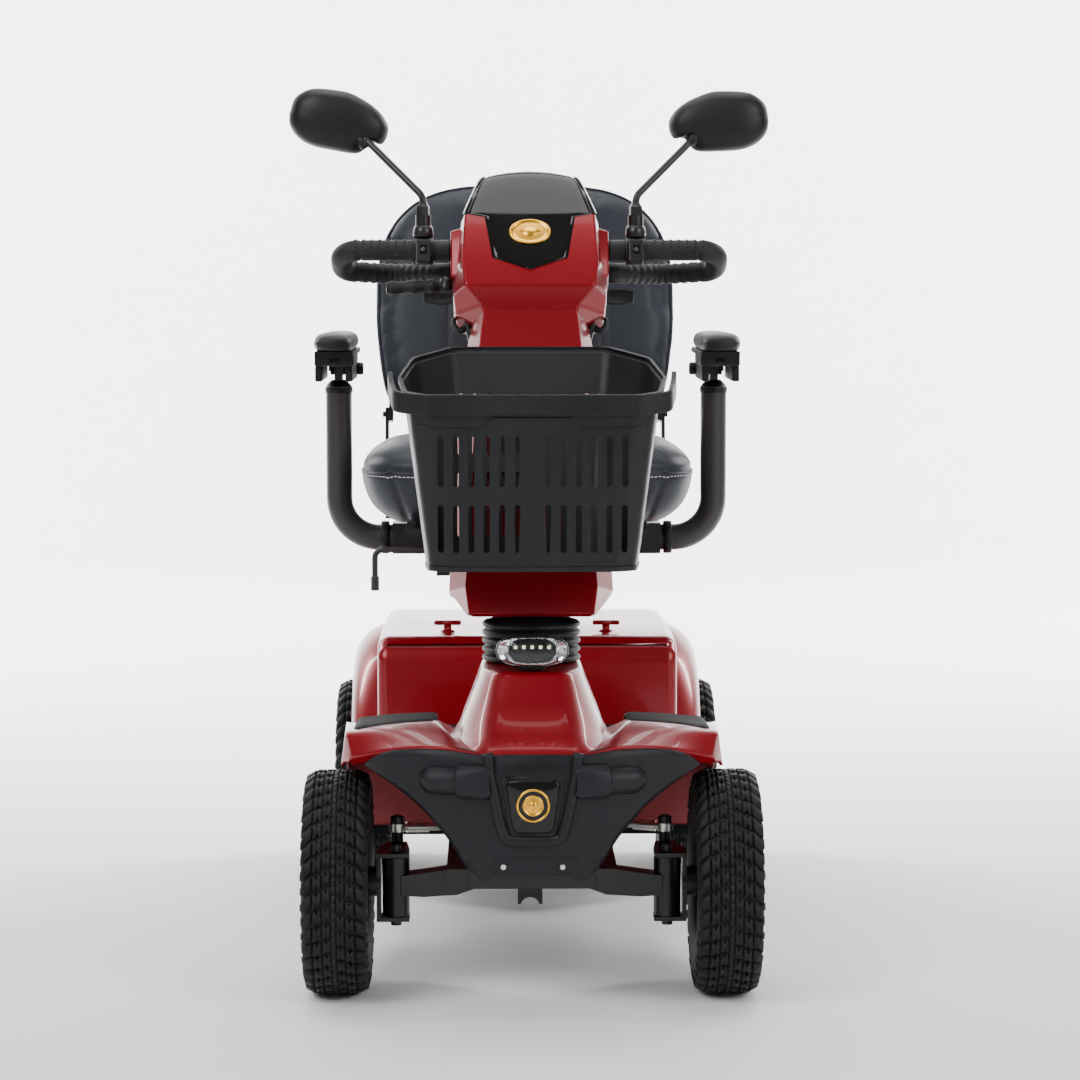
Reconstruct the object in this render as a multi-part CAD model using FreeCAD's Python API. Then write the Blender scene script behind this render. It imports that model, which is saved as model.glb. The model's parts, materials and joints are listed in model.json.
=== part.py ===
"""Four-wheel mobility scooter with a delta tiller, a front basket and a swivel captain's seat.

Row frame: millimetres, +Z up, the ground is Z = 0. The scooter faces -Y, so -X is the rider's right.
The origin is on the ground at the middle of the overall length and width.
Every function below builds one named piece, or a group of identical pieces, and returns its solids.
"""

import FreeCAD, Part
import math
import os

V = FreeCAD.Vector
X_AXIS, Y_AXIS, Z_AXIS = V(1, 0, 0), V(0, 1, 0), V(0, 0, 1)

# ---- driving dimensions -------------------------------------------------------------------------
WHEEL_R = 165.0            # 13 inch tyres
TYRE_W = 100.0
RIM_R = 80.0
HUB_R = 24.0
TRACK_HALF = 285.0
FRONT_AXLE_Y = -525.0
REAR_AXLE_Y = 475.0
AXLE_R = 10.0
RUN = 0.05                 # radial clearance of every turning fit

KINGPIN_X = 200.0
STEER_Y = FRONT_AXLE_Y + 50.0
STEER_ARM = 70.0           # pitman arm and steering arms have this one length
TIE_Z = 233.0
STUD_R = 6.0

DECK_Z = 205.0             # underside of the floor mat
RAIL_Z = (160.0, 190.0)

PIVOT_Z = 515.0            # tiller tilt pivot
TILT_DEG = 21.5            # how far the tiller leans back at rest
HEAD_Z = 620.0             # handlebar height along the tiller
BAR_R = 12.0
GRIP_R = 16.0
THROTTLE = (112.0, 588.0)  # throttle pivot behind the head, and its height along the tiller
TILT_LEVER = (-128.0, 552.0)
REAR_BAR = (40.0, 598.0)   # depth and height along the tiller of the loop's rear bar

BASKET_FLOOR_Z = 637.0
BASKET_FRONT_Z = 889.0
BASKET_SLOPE = 0.19        # the rim rises towards the rider

SEAT_Y = 300.0             # seat post
POST_R = 25.0
SEAT_TOP_Z = 785.0
SEAT_BASE_Z = 641.0
BACK_PIVOT = (470.0, 805.0)
BACK_LEAN_DEG = 10.0
ARM_X = 319.0
ARM_Y = 260.0
ARM_LOW_Z = 605.0
ARM_R = 22.0
ARM_PIVOT_Z = 893.0


# ---- helpers ------------------------------------------------------------------------------------
def box(x0, x1, y0, y1, z0, z1):
    return Part.makeBox(x1 - x0, y1 - y0, z1 - z0, V(x0, y0, z0))


def cylinder(start, end, r):
    a, b = V(*start), V(*end)
    return Part.makeCylinder(r, (b - a).Length, a, b - a)


def polygon(points):
    return Part.makePolygon([V(*p) for p in points] + [V(*points[0])])


def prism_x(yz, x0, x1):
    """A YZ outline pulled from x0 to x1."""
    return Part.Face(polygon([(x0, y, z) for y, z in yz])).extrude(V(x1 - x0, 0, 0))


def prism_y(xz, y0, y1):
    """An XZ outline pulled from y0 to y1."""
    return Part.Face(polygon([(x, y0, z) for x, z in xz])).extrude(V(0, y1 - y0, 0))


def prism_z(xy, z0, z1):
    """An XY outline pulled from z0 to z1."""
    return Part.Face(polygon([(x, y, z0) for x, y in xy])).extrude(V(0, 0, z1 - z0))


def loft(sections):
    """A straight-sided solid through closed outlines that have the same number of corners."""
    return Part.makeLoft([polygon(s) for s in sections], True, True)


def fuse(first, *others):
    return first.multiFuse(list(others)).removeSplitter()


def mirror(shape):
    """The same piece on the other side of the scooter."""
    return shape.mirror(V(0, 0, 0), X_AXIS)


def lathe(profile, centre, axis):
    """A turned solid: profile holds (distance along the axis, radius) pairs from the centre."""
    side = Z_AXIS if abs(axis.z) < 0.5 else X_AXIS
    c = V(*centre)
    wire = Part.makePolygon([c + axis * a + side * r for a, r in profile + profile[:1]])
    return Part.Face(wire).revolve(c, axis, 360)


def rod(points, r, bends):
    """A round bar along straight runs; each bend is an arc of the radius given for it."""
    p = [V(*q) for q in points]
    edges, start = [], p[0]
    for i, bend in enumerate(bends, start=1):
        back, on = (p[i - 1] - p[i]).normalize(), (p[i + 1] - p[i]).normalize()
        half = back.getAngle(on) / 2
        reach = bend / math.tan(half)
        a, b = p[i] + back * reach, p[i] + on * reach
        mid = p[i] + (back + on).normalize() * (bend / math.sin(half) - bend)
        edges += [Part.LineSegment(start, a).toShape(), Part.Arc(a, mid, b).toShape()]
        start = b
    edges.append(Part.LineSegment(start, p[-1]).toShape())
    path = Part.Wire(edges)
    ring = Part.Wire(Part.makeCircle(r, p[0], p[1] - p[0]))
    return Part.Solid(path.makePipeShell([ring], True, False))


def from_tiller(shape):
    """Leans a piece back from upright tiller axes (pivot at 0, 0, 0, rider at +Y) to where it stands."""
    leaned = shape.copy()
    leaned.rotate(V(0, 0, 0), X_AXIS, -TILT_DEG)
    leaned.translate(V(0, STEER_Y, PIVOT_Z))
    return leaned


# ---- wheels -------------------------------------------------------------------------------------
def tyre(x, y):
    half = TYRE_W / 2
    side = [(half * 0.66, RIM_R), (half * 0.92, RIM_R + 18), (half, RIM_R + 42), (half * 0.96, WHEEL_R - 18),
            (half * 0.78, WHEEL_R - 5), (half * 0.4, WHEEL_R)]
    profile = side + [(-a, r) for a, r in reversed(side)]
    return lathe(profile, (x, y, WHEEL_R), X_AXIS)


def rim(x, y, outward, driven):
    """A one-piece five-spoke wheel; outward is +1 on the left. A driven wheel carries its half-shaft."""
    half, wall = TYRE_W / 2 * 0.66, 5.0
    barrel = lathe([(-half, RIM_R - wall), (-half, RIM_R), (half, RIM_R), (half, RIM_R - wall)],
                   (x, y, WHEEL_R), X_AXIS)
    web_in, web_out = sorted((x + outward * 4, x + outward * 16))
    web = cylinder((web_in, y, WHEEL_R), (web_out, y, WHEEL_R), RIM_R - wall)
    for k in range(5):
        a = math.radians(90 + 72 * k)
        inner, outer = 34.0, 64.0
        window = prism_x([(y + inner * math.cos(a - 0.42), WHEEL_R + inner * math.sin(a - 0.42)),
                          (y + outer * math.cos(a - 0.42), WHEEL_R + outer * math.sin(a - 0.42)),
                          (y + outer * math.cos(a + 0.42), WHEEL_R + outer * math.sin(a + 0.42)),
                          (y + inner * math.cos(a + 0.42), WHEEL_R + inner * math.sin(a + 0.42))],
                         web_in - 1, web_out + 1)
        web = web.cut(window)
    hub = cylinder((x - half, y, WHEEL_R), (x + half, y, WHEEL_R), HUB_R)
    if driven:
        return fuse(barrel, web, hub, cylinder((outward * 40, y, WHEEL_R), (x, y, WHEEL_R), AXLE_R))
    bore = cylinder((x - half - 1, y, WHEEL_R), (x + half + 1, y, WHEEL_R), AXLE_R + RUN)
    return fuse(barrel, web, hub).cut(bore)


# ---- front axle and steering ----------------------------------------------------------------------
PIN_R = 8.0
YOKE_Z = (108.0, 209.0)    # outside faces of the knuckle's lower and upper plates
BARREL_Z = (115.0, 202.0)


def knuckle(side):
    """C-shaped yoke round the kingpin barrel, with its pin, stub axle, steering arm and tie-rod stud."""
    x, y = KINGPIN_X, FRONT_AXLE_Y
    low, top = YOKE_Z
    stud_y = y + STEER_ARM
    upper = prism_z([(x - 20, y - 20), (x + 28, y - 20), (x + 28, y + 20), (x + 14, stud_y + 12),
                     (x - 14, stud_y + 12), (x - 20, y + 20)], top - 6, top)
    lower = box(x - 20, x + 28, y - 20, y + 20, low, low + 6)
    outer = box(x + 22, x + 28, y - 20, y + 20, low, top)
    pin = cylinder((x, y, low - 8), (x, y, top + 10), PIN_R)
    axle = cylinder((x + 22, y, WHEEL_R), (TRACK_HALF + 32.5, y, WHEEL_R), AXLE_R)
    boss = cylinder((x + 22, y, WHEEL_R), (x + 42, y, WHEEL_R), 22)
    stud = cylinder((x, stud_y, top - 1), (x, stud_y, TIE_Z + 18), STUD_R)
    spacer = cylinder((x, stud_y, top - 1), (x, stud_y, TIE_Z - 7), 9)
    nut = cylinder((x, stud_y, TIE_Z + 7), (x, stud_y, TIE_Z + 16), 10)
    shape = fuse(upper, lower, outer, pin, axle, boss, stud, spacer, nut)
    return shape if side > 0 else mirror(shape)


PITMAN_Z = (206.0, 216.0)
PITMAN_Y = STEER_Y + STEER_ARM


def tie_rod(side):
    """Rod with an eye at each end; the two inner eyes are stacked on the pitman bolt."""
    inner_z = TIE_Z + (7.0 if side > 0 else -7.0)
    outer = (side * KINGPIN_X, FRONT_AXLE_Y + STEER_ARM, TIE_Z)
    inner = (0.0, PITMAN_Y, inner_z)
    along = (V(*inner) - V(*outer)).normalize()
    a, b = V(*outer) + along * 9, V(*inner) - along * 9
    shaft = Part.makeCylinder(5.5, (b - a).Length, a, along)
    socket_a = Part.makeCylinder(8, 34, V(*outer) + along * 14, along)
    socket_b = Part.makeCylinder(5.8, 34, V(*inner) - along * 48, along)
    eyes = [cylinder((p[0], p[1], p[2] - 6), (p[0], p[1], p[2] + 6), 12) for p in (outer, inner)]
    bores = [cylinder((p[0], p[1], p[2] - 9), (p[0], p[1], p[2] + 9), STUD_R + RUN) for p in (outer, inner)]
    return fuse(shaft, socket_a, socket_b, *eyes).cut(bores[0]).cut(bores[1])


def steering_stem():
    """Turning shaft in the head tube, with the pitman arm, its bolt, and the upper collar."""
    y = STEER_Y
    shaft = cylinder((0, y, 198), (0, y, 455), 20)
    arm = prism_z([(-20, y - 10), (20, y - 10), (12, PITMAN_Y + 12), (-12, PITMAN_Y + 12)], *PITMAN_Z)
    bolt = cylinder((0, PITMAN_Y, PITMAN_Z[0]), (0, PITMAN_Y, TIE_Z + 24), STUD_R)
    spacer = cylinder((0, PITMAN_Y, PITMAN_Z[0]), (0, PITMAN_Y, PITMAN_Z[1] + 3), 9)
    nut = cylinder((0, PITMAN_Y, TIE_Z + 14), (0, PITMAN_Y, TIE_Z + 22), 10)
    collar = cylinder((0, y, 421), (0, y, 432), 28)
    return fuse(shaft, arm, bolt, spacer, nut, collar, tiller_yoke(), tilt_quadrant())


def steering_tower():
    """Folded steel tower on the front cross member, with the head tube that the stem turns in."""
    y = STEER_Y
    barrel = cylinder((0, y, 262), (0, y, 420), 28)
    saddle = box(-45, 45, y - 42, y - 18, 290, 400)
    tower = prism_y([(-70, RAIL_Z[1]), (70, RAIL_Z[1]), (45, 400), (-45, 400)], y - 71, y - 41)
    return fuse(barrel, saddle, tower).cut(cylinder((0, y, 261), (0, y, 421), 20 + RUN))


def tiller_yoke():
    """Clevis on top of the stem that the tiller hinges in, with its hinge pin."""
    y, z = STEER_Y, PIVOT_Z
    base = box(-34, 34, y - 24, y + 24, 455, 465)
    ears = [prism_x([(y - 22, 465), (y + 22, 465), (y + 16, z + 16), (y - 16, z + 16)], *pair)
            for pair in ((-34, -23), (23, 34))]
    pin = cylinder((-38, y, z), (38, y, z), 8)
    return fuse(base, *ears, pin)


def tilt_quadrant():
    """Toothed sector on the yoke that the tiller's lock drops into."""
    y, z, x0 = STEER_Y, PIVOT_Z, 36.0
    teeth = []
    for k in range(33):
        a = math.radians(120 - 3.6 * k)
        r = 44 if k % 2 else 40
        teeth.append((y + r * math.cos(a), z + r * math.sin(a)))
    return prism_x([(y + 12, z - 52), (y - 12, z - 52)] + teeth, x0 - 3, x0 + 3)


# ---- frame and floor ------------------------------------------------------------------------------
def frame():
    """The welded chassis: rails, cross members, front axle beam, seat tube, strap tongue and rear socket."""
    z0, z1 = RAIL_Z
    kick = 40.0            # how far the rails rise to pass over the rear axle
    side = [(FRONT_AXLE_Y - 40, z0), (340, z0), (400, z0 + kick), (660, z0 + kick), (660, z1 + kick),
            (385, z1 + kick), (325, z1), (FRONT_AXLE_Y - 40, z1)]
    rail = prism_x(side, 95, 125)
    parts = [mirror(rail), front_axle_beam(), seat_tube(), tie_down_bracket(), rear_socket()]
    for y0, y1 in ((FRONT_AXLE_Y - 35, STEER_Y - 36), (-300, -262), (-60, -25), (SEAT_Y - 45, SEAT_Y + 20)):
        parts.append(box(-95, 95, y0, y1, z0, z1))
    parts.append(box(-95, 95, 590, 620, z0 + kick, z1 + kick))
    bores = [cylinder((0, SEAT_Y, 205), (0, SEAT_Y, 480), POST_R + RUN), socket_bore()]
    whole = fuse(rail, *parts)
    for bore in bores:
        whole = whole.cut(bore)
    return whole


def front_axle_beam():
    """Bent beam with a kingpin barrel at each end, raised in the middle under the cross member."""
    y = FRONT_AXLE_Y
    reach = KINGPIN_X - 8
    low = [(reach, 147), (160, 145), (110, 148), (60, 166)]
    high = [(60, 188), (120, 186), (160, 180), (reach, 176)]
    outline = low + [(-x, z) for x, z in reversed(low)] + [(-x, z) for x, z in reversed(high)] + high
    shape = prism_y(outline, y - 20, y + 20)
    for x in (-KINGPIN_X, KINGPIN_X):
        shape = fuse(shape, cylinder((x, y, BARREL_Z[0]), (x, y, BARREL_Z[1]), 20))
    for x in (-KINGPIN_X, KINGPIN_X):
        shape = shape.cut(cylinder((x, y, BARREL_Z[0] - 1), (x, y, BARREL_Z[1] + 1), PIN_R + RUN))
    return shape


def seat_tube():
    return cylinder((0, SEAT_Y, RAIL_Z[0]), (0, SEAT_Y, 476), 32)


SOCKET_Z, SOCKET_R = 180.0, 12.5


def rear_socket():
    """Round accessory socket under the rear cross member, open to the rear."""
    barrel = cylinder((0, 604, SOCKET_Z), (0, 700, SOCKET_Z), 17)
    hanger = box(-8, 8, 604, 620, SOCKET_Z, 205)
    return fuse(barrel, hanger)


def socket_bore():
    return cylinder((0, 615, SOCKET_Z), (0, 701, SOCKET_Z), SOCKET_R)


def tie_down_bracket():
    """Flat steel tongue under the frame with a half-round notch for a transport strap."""
    plate = box(-19, 19, -312, -304, 86, RAIL_Z[1])
    top = box(-19, 19, -304, -295, RAIL_Z[0], RAIL_Z[1])
    return fuse(plate, top).cut(cylinder((0, -315, 82), (0, -300, 82), 15))


def floor_pan():
    return box(-252, 252, -281, 95, RAIL_Z[1], DECK_Z)


# ---- front shell ----------------------------------------------------------------------------------
SHELL = 4.0
HOOD_YZ = [(-672, 362), (-585, 394), (-545, 402), (-430, 398), (-282, 206)]   # top surface, front to back
WING_X = (112.0, 277.0)


def below(outline, drop):
    """The outline's points lowered by drop, back to front, to close a sheet of that depth."""
    return [(y, z - drop) for y, z in reversed(outline)]


def front_shroud():
    """Red hood over both front wheels with the sloping toe board behind it and a skirt on each side."""
    sheet = HOOD_YZ + below(HOOD_YZ, SHELL + 1)
    wing = prism_x(sheet, *WING_X)
    skirt_yz = HOOD_YZ[:4] + [(-400, 355), (-455, 342), (-590, 342), (-650, 352)]
    skirt = prism_x(skirt_yz, WING_X[1] - SHELL, WING_X[1])
    wing = fuse(wing, skirt)
    bridge = prism_x([(-398, 356), (-282, 206), (-282, 201), (-398, 351)], -WING_X[0], WING_X[0])
    return [wing, mirror(wing), bridge]


def floor_mats():
    """One ribbed mat on the floor and a pad for each foot on the hood's rear slope."""
    slope = math.atan2(192, 148)
    up_y, up_z = math.sin(slope) * 4, math.cos(slope) * 4
    a, b, c = (-545, 402.2), (-430, 398.2), (-298, 227)
    top = [(c[0] + up_y, c[1] + up_z), (b[0] + 2.6, b[1] + 4.2), (a[0], a[1] + 4.2)]
    pad = prism_x([a, b, c] + top, 126, 262)
    deck = box(-244, 244, -270, 92, DECK_Z, DECK_Z + 5)
    return [deck, pad, mirror(pad)]


COWL_TOP_Z = 486.0


def cowl_outline(half, front, back, z):
    corner = half * 0.32
    return [(-half, back, z), (-half, front + corner, z),
            (-half + corner, front, z), (half - corner, front, z),
            (half, front + corner, z), (half, back, z)]


def column_cowl():
    """Red cone round the steering column, open at its foot, with a round hole for the bellows."""
    outer = loft([cowl_outline(110, -675, -398, 360), cowl_outline(70, -588, -398, COWL_TOP_Z)])
    inner = loft([cowl_outline(106, -671, -402, 359), cowl_outline(66, -584, -402, COWL_TOP_Z - SHELL)])
    hole = cylinder((0, STEER_Y, 470), (0, STEER_Y, 490), 58)
    return outer.cut(inner).cut(hole)


def plan_band(depth_points, thick, z0, z1):
    """A band that follows a plan polyline, thick deep towards the rear."""
    back = [(x, y + thick) for x, y in reversed(depth_points)]
    return prism_z(depth_points + back, z0, z1)


def front_bumper():
    half_plan = [(241, -628), (165, -682), (62, -713)]
    plan = [(-x, y) for x, y in half_plan] + [(x, y) for x, y in reversed(half_plan)]
    half_face = [(0, 374), (112, 374), (132, 366), (225, 366), (241, 350), (205, 320), (165, 274), (120, 215),
                 (82, 190), (66, 190), (50, 199), (0, 199)]
    face = half_face + [(-x, z) for x, z in reversed(half_face[1:-1])]
    band = plan_band(plan, 18, 150, 400)
    bars = []
    for side in (-1, 1):
        bars.append(cylinder((side * 72, -698.8, 338), (side * 168, -670, 338), 18.5))
    shape = fuse(prism_y(face, -760, -590).common(band), *bars)
    for panel in front_shroud():
        shape = shape.cut(panel)
    return max(shape.Solids, key=lambda solid: solid.Volume)


def badge_panel():
    """Gloss trapezoid let into the bumper's middle."""
    return prism_y([(-47, 346), (47, 346), (31, 272), (-31, 272)], -715.5, -713)


LAMP_Z, LAMP_FRONT = 516.0, -618.0


def stadium(half, r, y0, y1, z):
    """A flat-sided oval, lying across, pulled from y0 to y1."""
    middle = box(-half + r, half - r, y0, y1, z - r, z + r)
    ends = [cylinder((x, y0, z), (x, y1, z), r) for x in (-half + r, half - r)]
    return fuse(middle, *ends)


def headlight_housing():
    cup = stadium(51, 23, LAMP_FRONT + 10, LAMP_FRONT + 26, LAMP_Z)
    hollow = stadium(48, 20, LAMP_FRONT + 9, LAMP_FRONT + 22, LAMP_Z)
    foot = box(-20, 20, LAMP_FRONT + 26, LAMP_FRONT + 34, COWL_TOP_Z, LAMP_Z)
    return fuse(cup.cut(hollow), foot)


def headlight_lens():
    shell = stadium(51, 23, LAMP_FRONT, LAMP_FRONT + 10, LAMP_Z)
    return shell.cut(stadium(48, 20, LAMP_FRONT + 3, LAMP_FRONT + 11, LAMP_Z))


def headlight_leds():
    return [cylinder((x, LAMP_FRONT + 12, LAMP_Z + 3), (x, LAMP_FRONT + 22, LAMP_Z + 3), 4.5)
            for x in (-26, -13, 0, 13, 26)]


BELLOWS_Z = (486.0, 548.0)


def bellows():
    """Rubber boot over the tilt hinge: five folds of one thin wall."""
    folds, wall = 5, 3.0
    pitch = (BELLOWS_Z[1] - BELLOWS_Z[0]) / folds
    outside, inside = [(BELLOWS_Z[0], 58.0)], [(BELLOWS_Z[0], 58.0 - wall)]
    for k in range(folds):
        crest, root = BELLOWS_Z[0] + pitch * (k + 0.5), BELLOWS_Z[0] + pitch * (k + 1)
        outside += [(crest - 3, 70.0), (crest + 3, 70.0), (root, 58.0)]
        inside += [(crest - 2, 70.0 - wall), (crest + 2, 70.0 - wall), (root, 58.0 - wall)]
    return lathe(outside + inside[::-1], (0, STEER_Y, 0), Z_AXIS)


# ---- tiller ---------------------------------------------------------------------------------------
TUBE_R = 17.0


def section(z, face, flank, front, shoulder, back):
    """Eight-cornered outline from the half widths of the front face and of the flank, and their depths."""
    half = [(face, front), (flank, shoulder), (flank, back - 30), (flank * 0.72, back)]
    ring = half + [(-x, y) for x, y in reversed(half)]
    return [(x, y, z) for x, y in ring]


SHROUD_SECTIONS = [
    # z, face half, flank half, front, shoulder, back
    (22, 92, 96, -66, -50, 80),
    (62, 96, 122, -72, -18, 84),
    (110, 92, 120, -72, -16, 84),
    (420, 82, 104, -60, -12, 74),
    (506, 74, 92, -64, -20, 70),
]
HEAD_SECTIONS = [
    (507, 72, 115, -70, -30, 74),
    (532, 100, 117, -84, -42, 77),
    (575, 104, 110, -78, -42, 78),
    (656, 99, 104, -60, -28, 76),
    (722, 74, 78, -34, -12, 52),
    (735, 60, 64, -22, -4, 36),
]


def shell_form(sections, grow):
    """The outer form of a shroud, or with grow below zero the space inside it."""
    return loft([section(z, a + grow, b + grow, front - grow, mid - grow, back + grow)
                 for z, a, b, front, mid, back in sections])


def tiller_shroud():
    sections = SHROUD_SECTIONS
    return from_tiller(shell_form(sections, 0).cut(shell_form(sections, -SHELL)))


def head_form(grow):
    return shell_form(HEAD_SECTIONS, grow)


def bar_windows(gap):
    """The spaces where the handlebar and the tilt lever's bracket pass through the head."""
    windows = []
    for y, z in ((0, HEAD_Z), REAR_BAR):
        windows.append(cylinder((-150, y, z), (150, y, z), BAR_R + gap))
    windows.append(box(-150, -60, -12, 12, TILT_LEVER[1] - 9, TILT_LEVER[1] + 1))
    return windows


def head_shell():
    """Red head on top of the tiller, open below and closed above."""
    inside = loft([section(z, a - SHELL, b - SHELL, f + SHELL, m + SHELL, k - SHELL)
                   for z, a, b, f, m, k in HEAD_SECTIONS[:-1]] +
                  [section(HEAD_SECTIONS[-1][0] - SHELL, 56, 60, -18, 0, 32)])
    shell = head_form(0).cut(inside)
    for window in bar_windows(1.5):
        shell = shell.cut(window)
    return from_tiller(shell)


def console_cover():
    """Black shield laid over the front of the head, pointed at its foot."""
    half = [(0, 558), (57, 577), (70, 652), (99, 656), (99, 745)]
    outline = half + [(-x, z) for x, z in reversed(half[1:])]
    layer = head_form(2.5).cut(head_form(0)).common(prism_y(outline, -150, 10))
    return from_tiller(layer)


def control_panel():
    """Black panel on the rider's side, with the throttle's pivot bracket below it."""
    window = box(-72, 72, 20, 150, 566, 722)
    layer = head_form(2.5).cut(head_form(0)).common(window)
    y, z = THROTTLE
    ledge = box(-16, 16, 76, y + 14, z - 8.3, z - 0.3)
    pin = cylinder((0, y, z - 2), (0, y, z + 27), 5)
    display = box(-46, 46, 56, 79, 672, 698)
    whole = fuse(layer, pin, fuse(ledge, display).cut(head_form(0)))
    return from_tiller(whole.cut(cylinder((0, 60, 636), (0, 90, 636), 5 + RUN)))


def speed_dial():
    """Round knob with its spindle through the control panel."""
    knob = lathe([(81.2, 0), (81.2, 18), (94, 16), (96, 14), (96, 0)], (0, 0, 636), Y_AXIS)
    spindle = cylinder((0, 78.4, 636), (0, 82, 636), 5)
    pointer = box(-1.5, 1.5, 95, 97.5, 638, 650)
    return from_tiller(fuse(knob, spindle, pointer))


def throttle_lever():
    """Paddle lever across the back of the head, one swept-back paddle for each thumb."""
    y, z = THROTTLE
    sweep = 26.0
    hub = cylinder((0, y, z), (0, y, z + 22), 12)
    half = prism_z([(0, y - 5), (118, y + sweep - 5), (118, y + sweep + 5), (0, y + 5)], z + 5, z + 17)
    paddle = box(112, 165, y + sweep - 4, y + sweep + 4, z - 4, z + 20)
    side = fuse(half, paddle)
    lever = fuse(hub, side, mirror(side))
    return from_tiller(lever.cut(cylinder((0, y, z - 1), (0, y, z + 23), 5 + RUN)))


def tilt_lever():
    """Ribbed finger lever at the rider's right that frees the tiller's tilt."""
    x, z = TILT_LEVER
    hub = cylinder((x, 0, z), (x, 0, z + 20), 10)
    grip = cylinder((x - 8, 0, z + 10), (x - 94, 0, z + 10), 9.5)
    return from_tiller(fuse(hub, grip).cut(cylinder((x, 0, z - 1), (x, 0, z + 21), 4 + RUN)))


def tiller_tube():
    """Steel column hinged in the yoke, with the handlebar saddle and the tilt lever's bracket on top."""
    lug = box(-22.5, 22.5, -15, 15, -15, 26)
    column = cylinder((0, 0, 20), (0, 0, HEAD_Z - 60), TUBE_R)
    saddle = box(-60, 60, -30, 56, HEAD_Z - 62, HEAD_Z - 54)
    post = fuse(lug, column, saddle)
    for y, z in ((0, HEAD_Z), REAR_BAR):
        for x in (-54, 42):
            post = fuse(post, box(x, x + 12, y - 16, y + 16, HEAD_Z - 55, z + BAR_R + 5))
    x, z = TILT_LEVER
    post = fuse(post, box(x - 10, -10, -9, 9, z - 6, z - 0.3), cylinder((x, 0, z - 3), (x, 0, z + 24), 4))
    post = post.cut(cylinder((-30, 0, 0), (30, 0, 0), 8 + RUN))
    for y, z in ((0, HEAD_Z), REAR_BAR):
        post = post.cut(cylinder((-60, y, z), (60, y, z), BAR_R))
    return from_tiller(post)


def loop_points():
    """Half of the closed delta loop: front bar, outer bend, and lower rear bar."""
    y, z = REAR_BAR
    return [(0, 0, HEAD_Z), (290, 0, HEAD_Z), (290, 66, z + 14), (205, 92, z + 18), (130, y, z), (0, y, z)]


def loop(r):
    return rod(loop_points(), r, [30, 26, 40, 40])


def handlebar():
    half = loop(BAR_R)
    return from_tiller(fuse(half, mirror(half)))


def handlebar_grips():
    """Moulded sleeves over both halves of the loop, outside the head."""
    sleeve = loop(GRIP_R).cut(loop(BAR_R)).common(box(122, 400, -100, 200, 400, 700))
    return [from_tiller(sleeve), from_tiller(mirror(sleeve))]


def bag_hooks():
    """Two black hooks low on the head's sides."""
    plate = box(92.2, 97, -18, 14, 476, 505)
    tongue = box(96, 112, -8, 4, 478, 484)
    tip = box(108, 112, -8, 4, 478, 498)
    hook = fuse(plate.common(box(80, 120, -30, 30, 470, 506)), tongue, tip)
    foot = hook.cut(shell_form(SHROUD_SECTIONS, 0))
    return [from_tiller(foot), from_tiller(mirror(foot))]


# ---- mirrors --------------------------------------------------------------------------------------
MIRROR_BALL = (252.0, -206.0, 1262.0)
MIRROR_C = (294.0, -196.0, 1291.0)
AIM_PIN_R = 3.0


def mirror_stems():
    """A clamp round each side of the handlebar, and the bent rod with the ball that carries its mirror."""
    bx, by, bz = MIRROR_BALL
    lean = math.radians(TILT_DEG)
    x, wide = 163.0, 15.0
    foot_y, foot_z = STEER_Y + HEAD_Z * math.sin(lean), PIVOT_Z + HEAD_Z * math.cos(lean)
    clamp = cylinder((x - wide, foot_y, foot_z), (x + wide, foot_y, foot_z), GRIP_R + 6)
    clamp = clamp.cut(cylinder((x - wide - 1, foot_y, foot_z), (x + wide + 1, foot_y, foot_z), GRIP_R + 0.1))
    boss = cylinder((x, foot_y, foot_z + GRIP_R + 3), (x, foot_y, foot_z + 54), 12)
    stem = rod([(x, foot_y, foot_z + 40), (x, foot_y, foot_z + 82), (bx, by, bz)], 4, [22])
    ball = fuse(Part.makeSphere(7, V(bx, by, bz)), cylinder((bx, by, bz), (bx, by, bz + 15), AIM_PIN_R))
    one = fuse(clamp, boss, stem, ball)
    return [one, mirror(one)]


def mirror_head():
    """Rounded mirror shell, socketed on the stem's ball; its flat face looks back at the rider."""
    cx, cy, cz = MIRROR_C
    w, h, r = 78.0, 47.0, 44.0
    plan = stadium_at(cx, cz, w, h, r, cy - 20, cy + 16)
    bx, by, bz = MIRROR_BALL
    socket = Part.makeSphere(7.4, V(bx, by, bz))
    mouth = Part.makeCone(8, 26, 60, V(bx, by, bz), V(-0.66, -0.12, -0.74))
    pin_bore = cylinder((bx, by, bz), (bx, by, bz + 15.3), AIM_PIN_R + RUN)
    return plan.cut(socket).cut(mouth).cut(pin_bore)


def stadium_at(cx, cz, w, h, r, y0, y1):
    """A rounded rectangle in XZ, tapered towards its front so that its back edge is the widest."""
    def outline(inset, y):
        a, b, c = w - inset, h - inset, r - inset
        points = []
        for sx, sz, start in ((1, 1, 0), (-1, 1, 90), (-1, -1, 180), (1, -1, 270)):
            for k in range(7):
                t = math.radians(start + 15 * k)
                points.append((cx + sx * (a - c) + c * math.cos(t), y, cz + sz * (b - c) + c * math.sin(t)))
        return points
    return loft([outline(22, y0), outline(8, y0 + 8), outline(0, y0 + 20), outline(0, y1)])


# ---- basket ---------------------------------------------------------------------------------------
BASKET_TOP = [(148, -700), (178, -680), (188, -590), (172, -470), (116, -398)]
BASKET_BAND = [(150, -704), (197, -684), (207, -598)]   # flange round the rim's front, in plan
BASKET_FLOOR = [(118, -668), (146, -650), (153, -590), (138, -536), (88, -512)]


def basket_ring(half, grow, height):
    """Closed plan outline at a height given by a function of Y."""
    cy = -560.0
    half = [(x + grow, y + (grow if y > cy else -grow)) for x, y in half]
    ring = half + [(-x, y) for x, y in reversed(half)]
    return [(x, y, height(y)) for x, y in ring]


def rim_height(y):
    return BASKET_FRONT_Z + BASKET_SLOPE * (y + 700)


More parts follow.
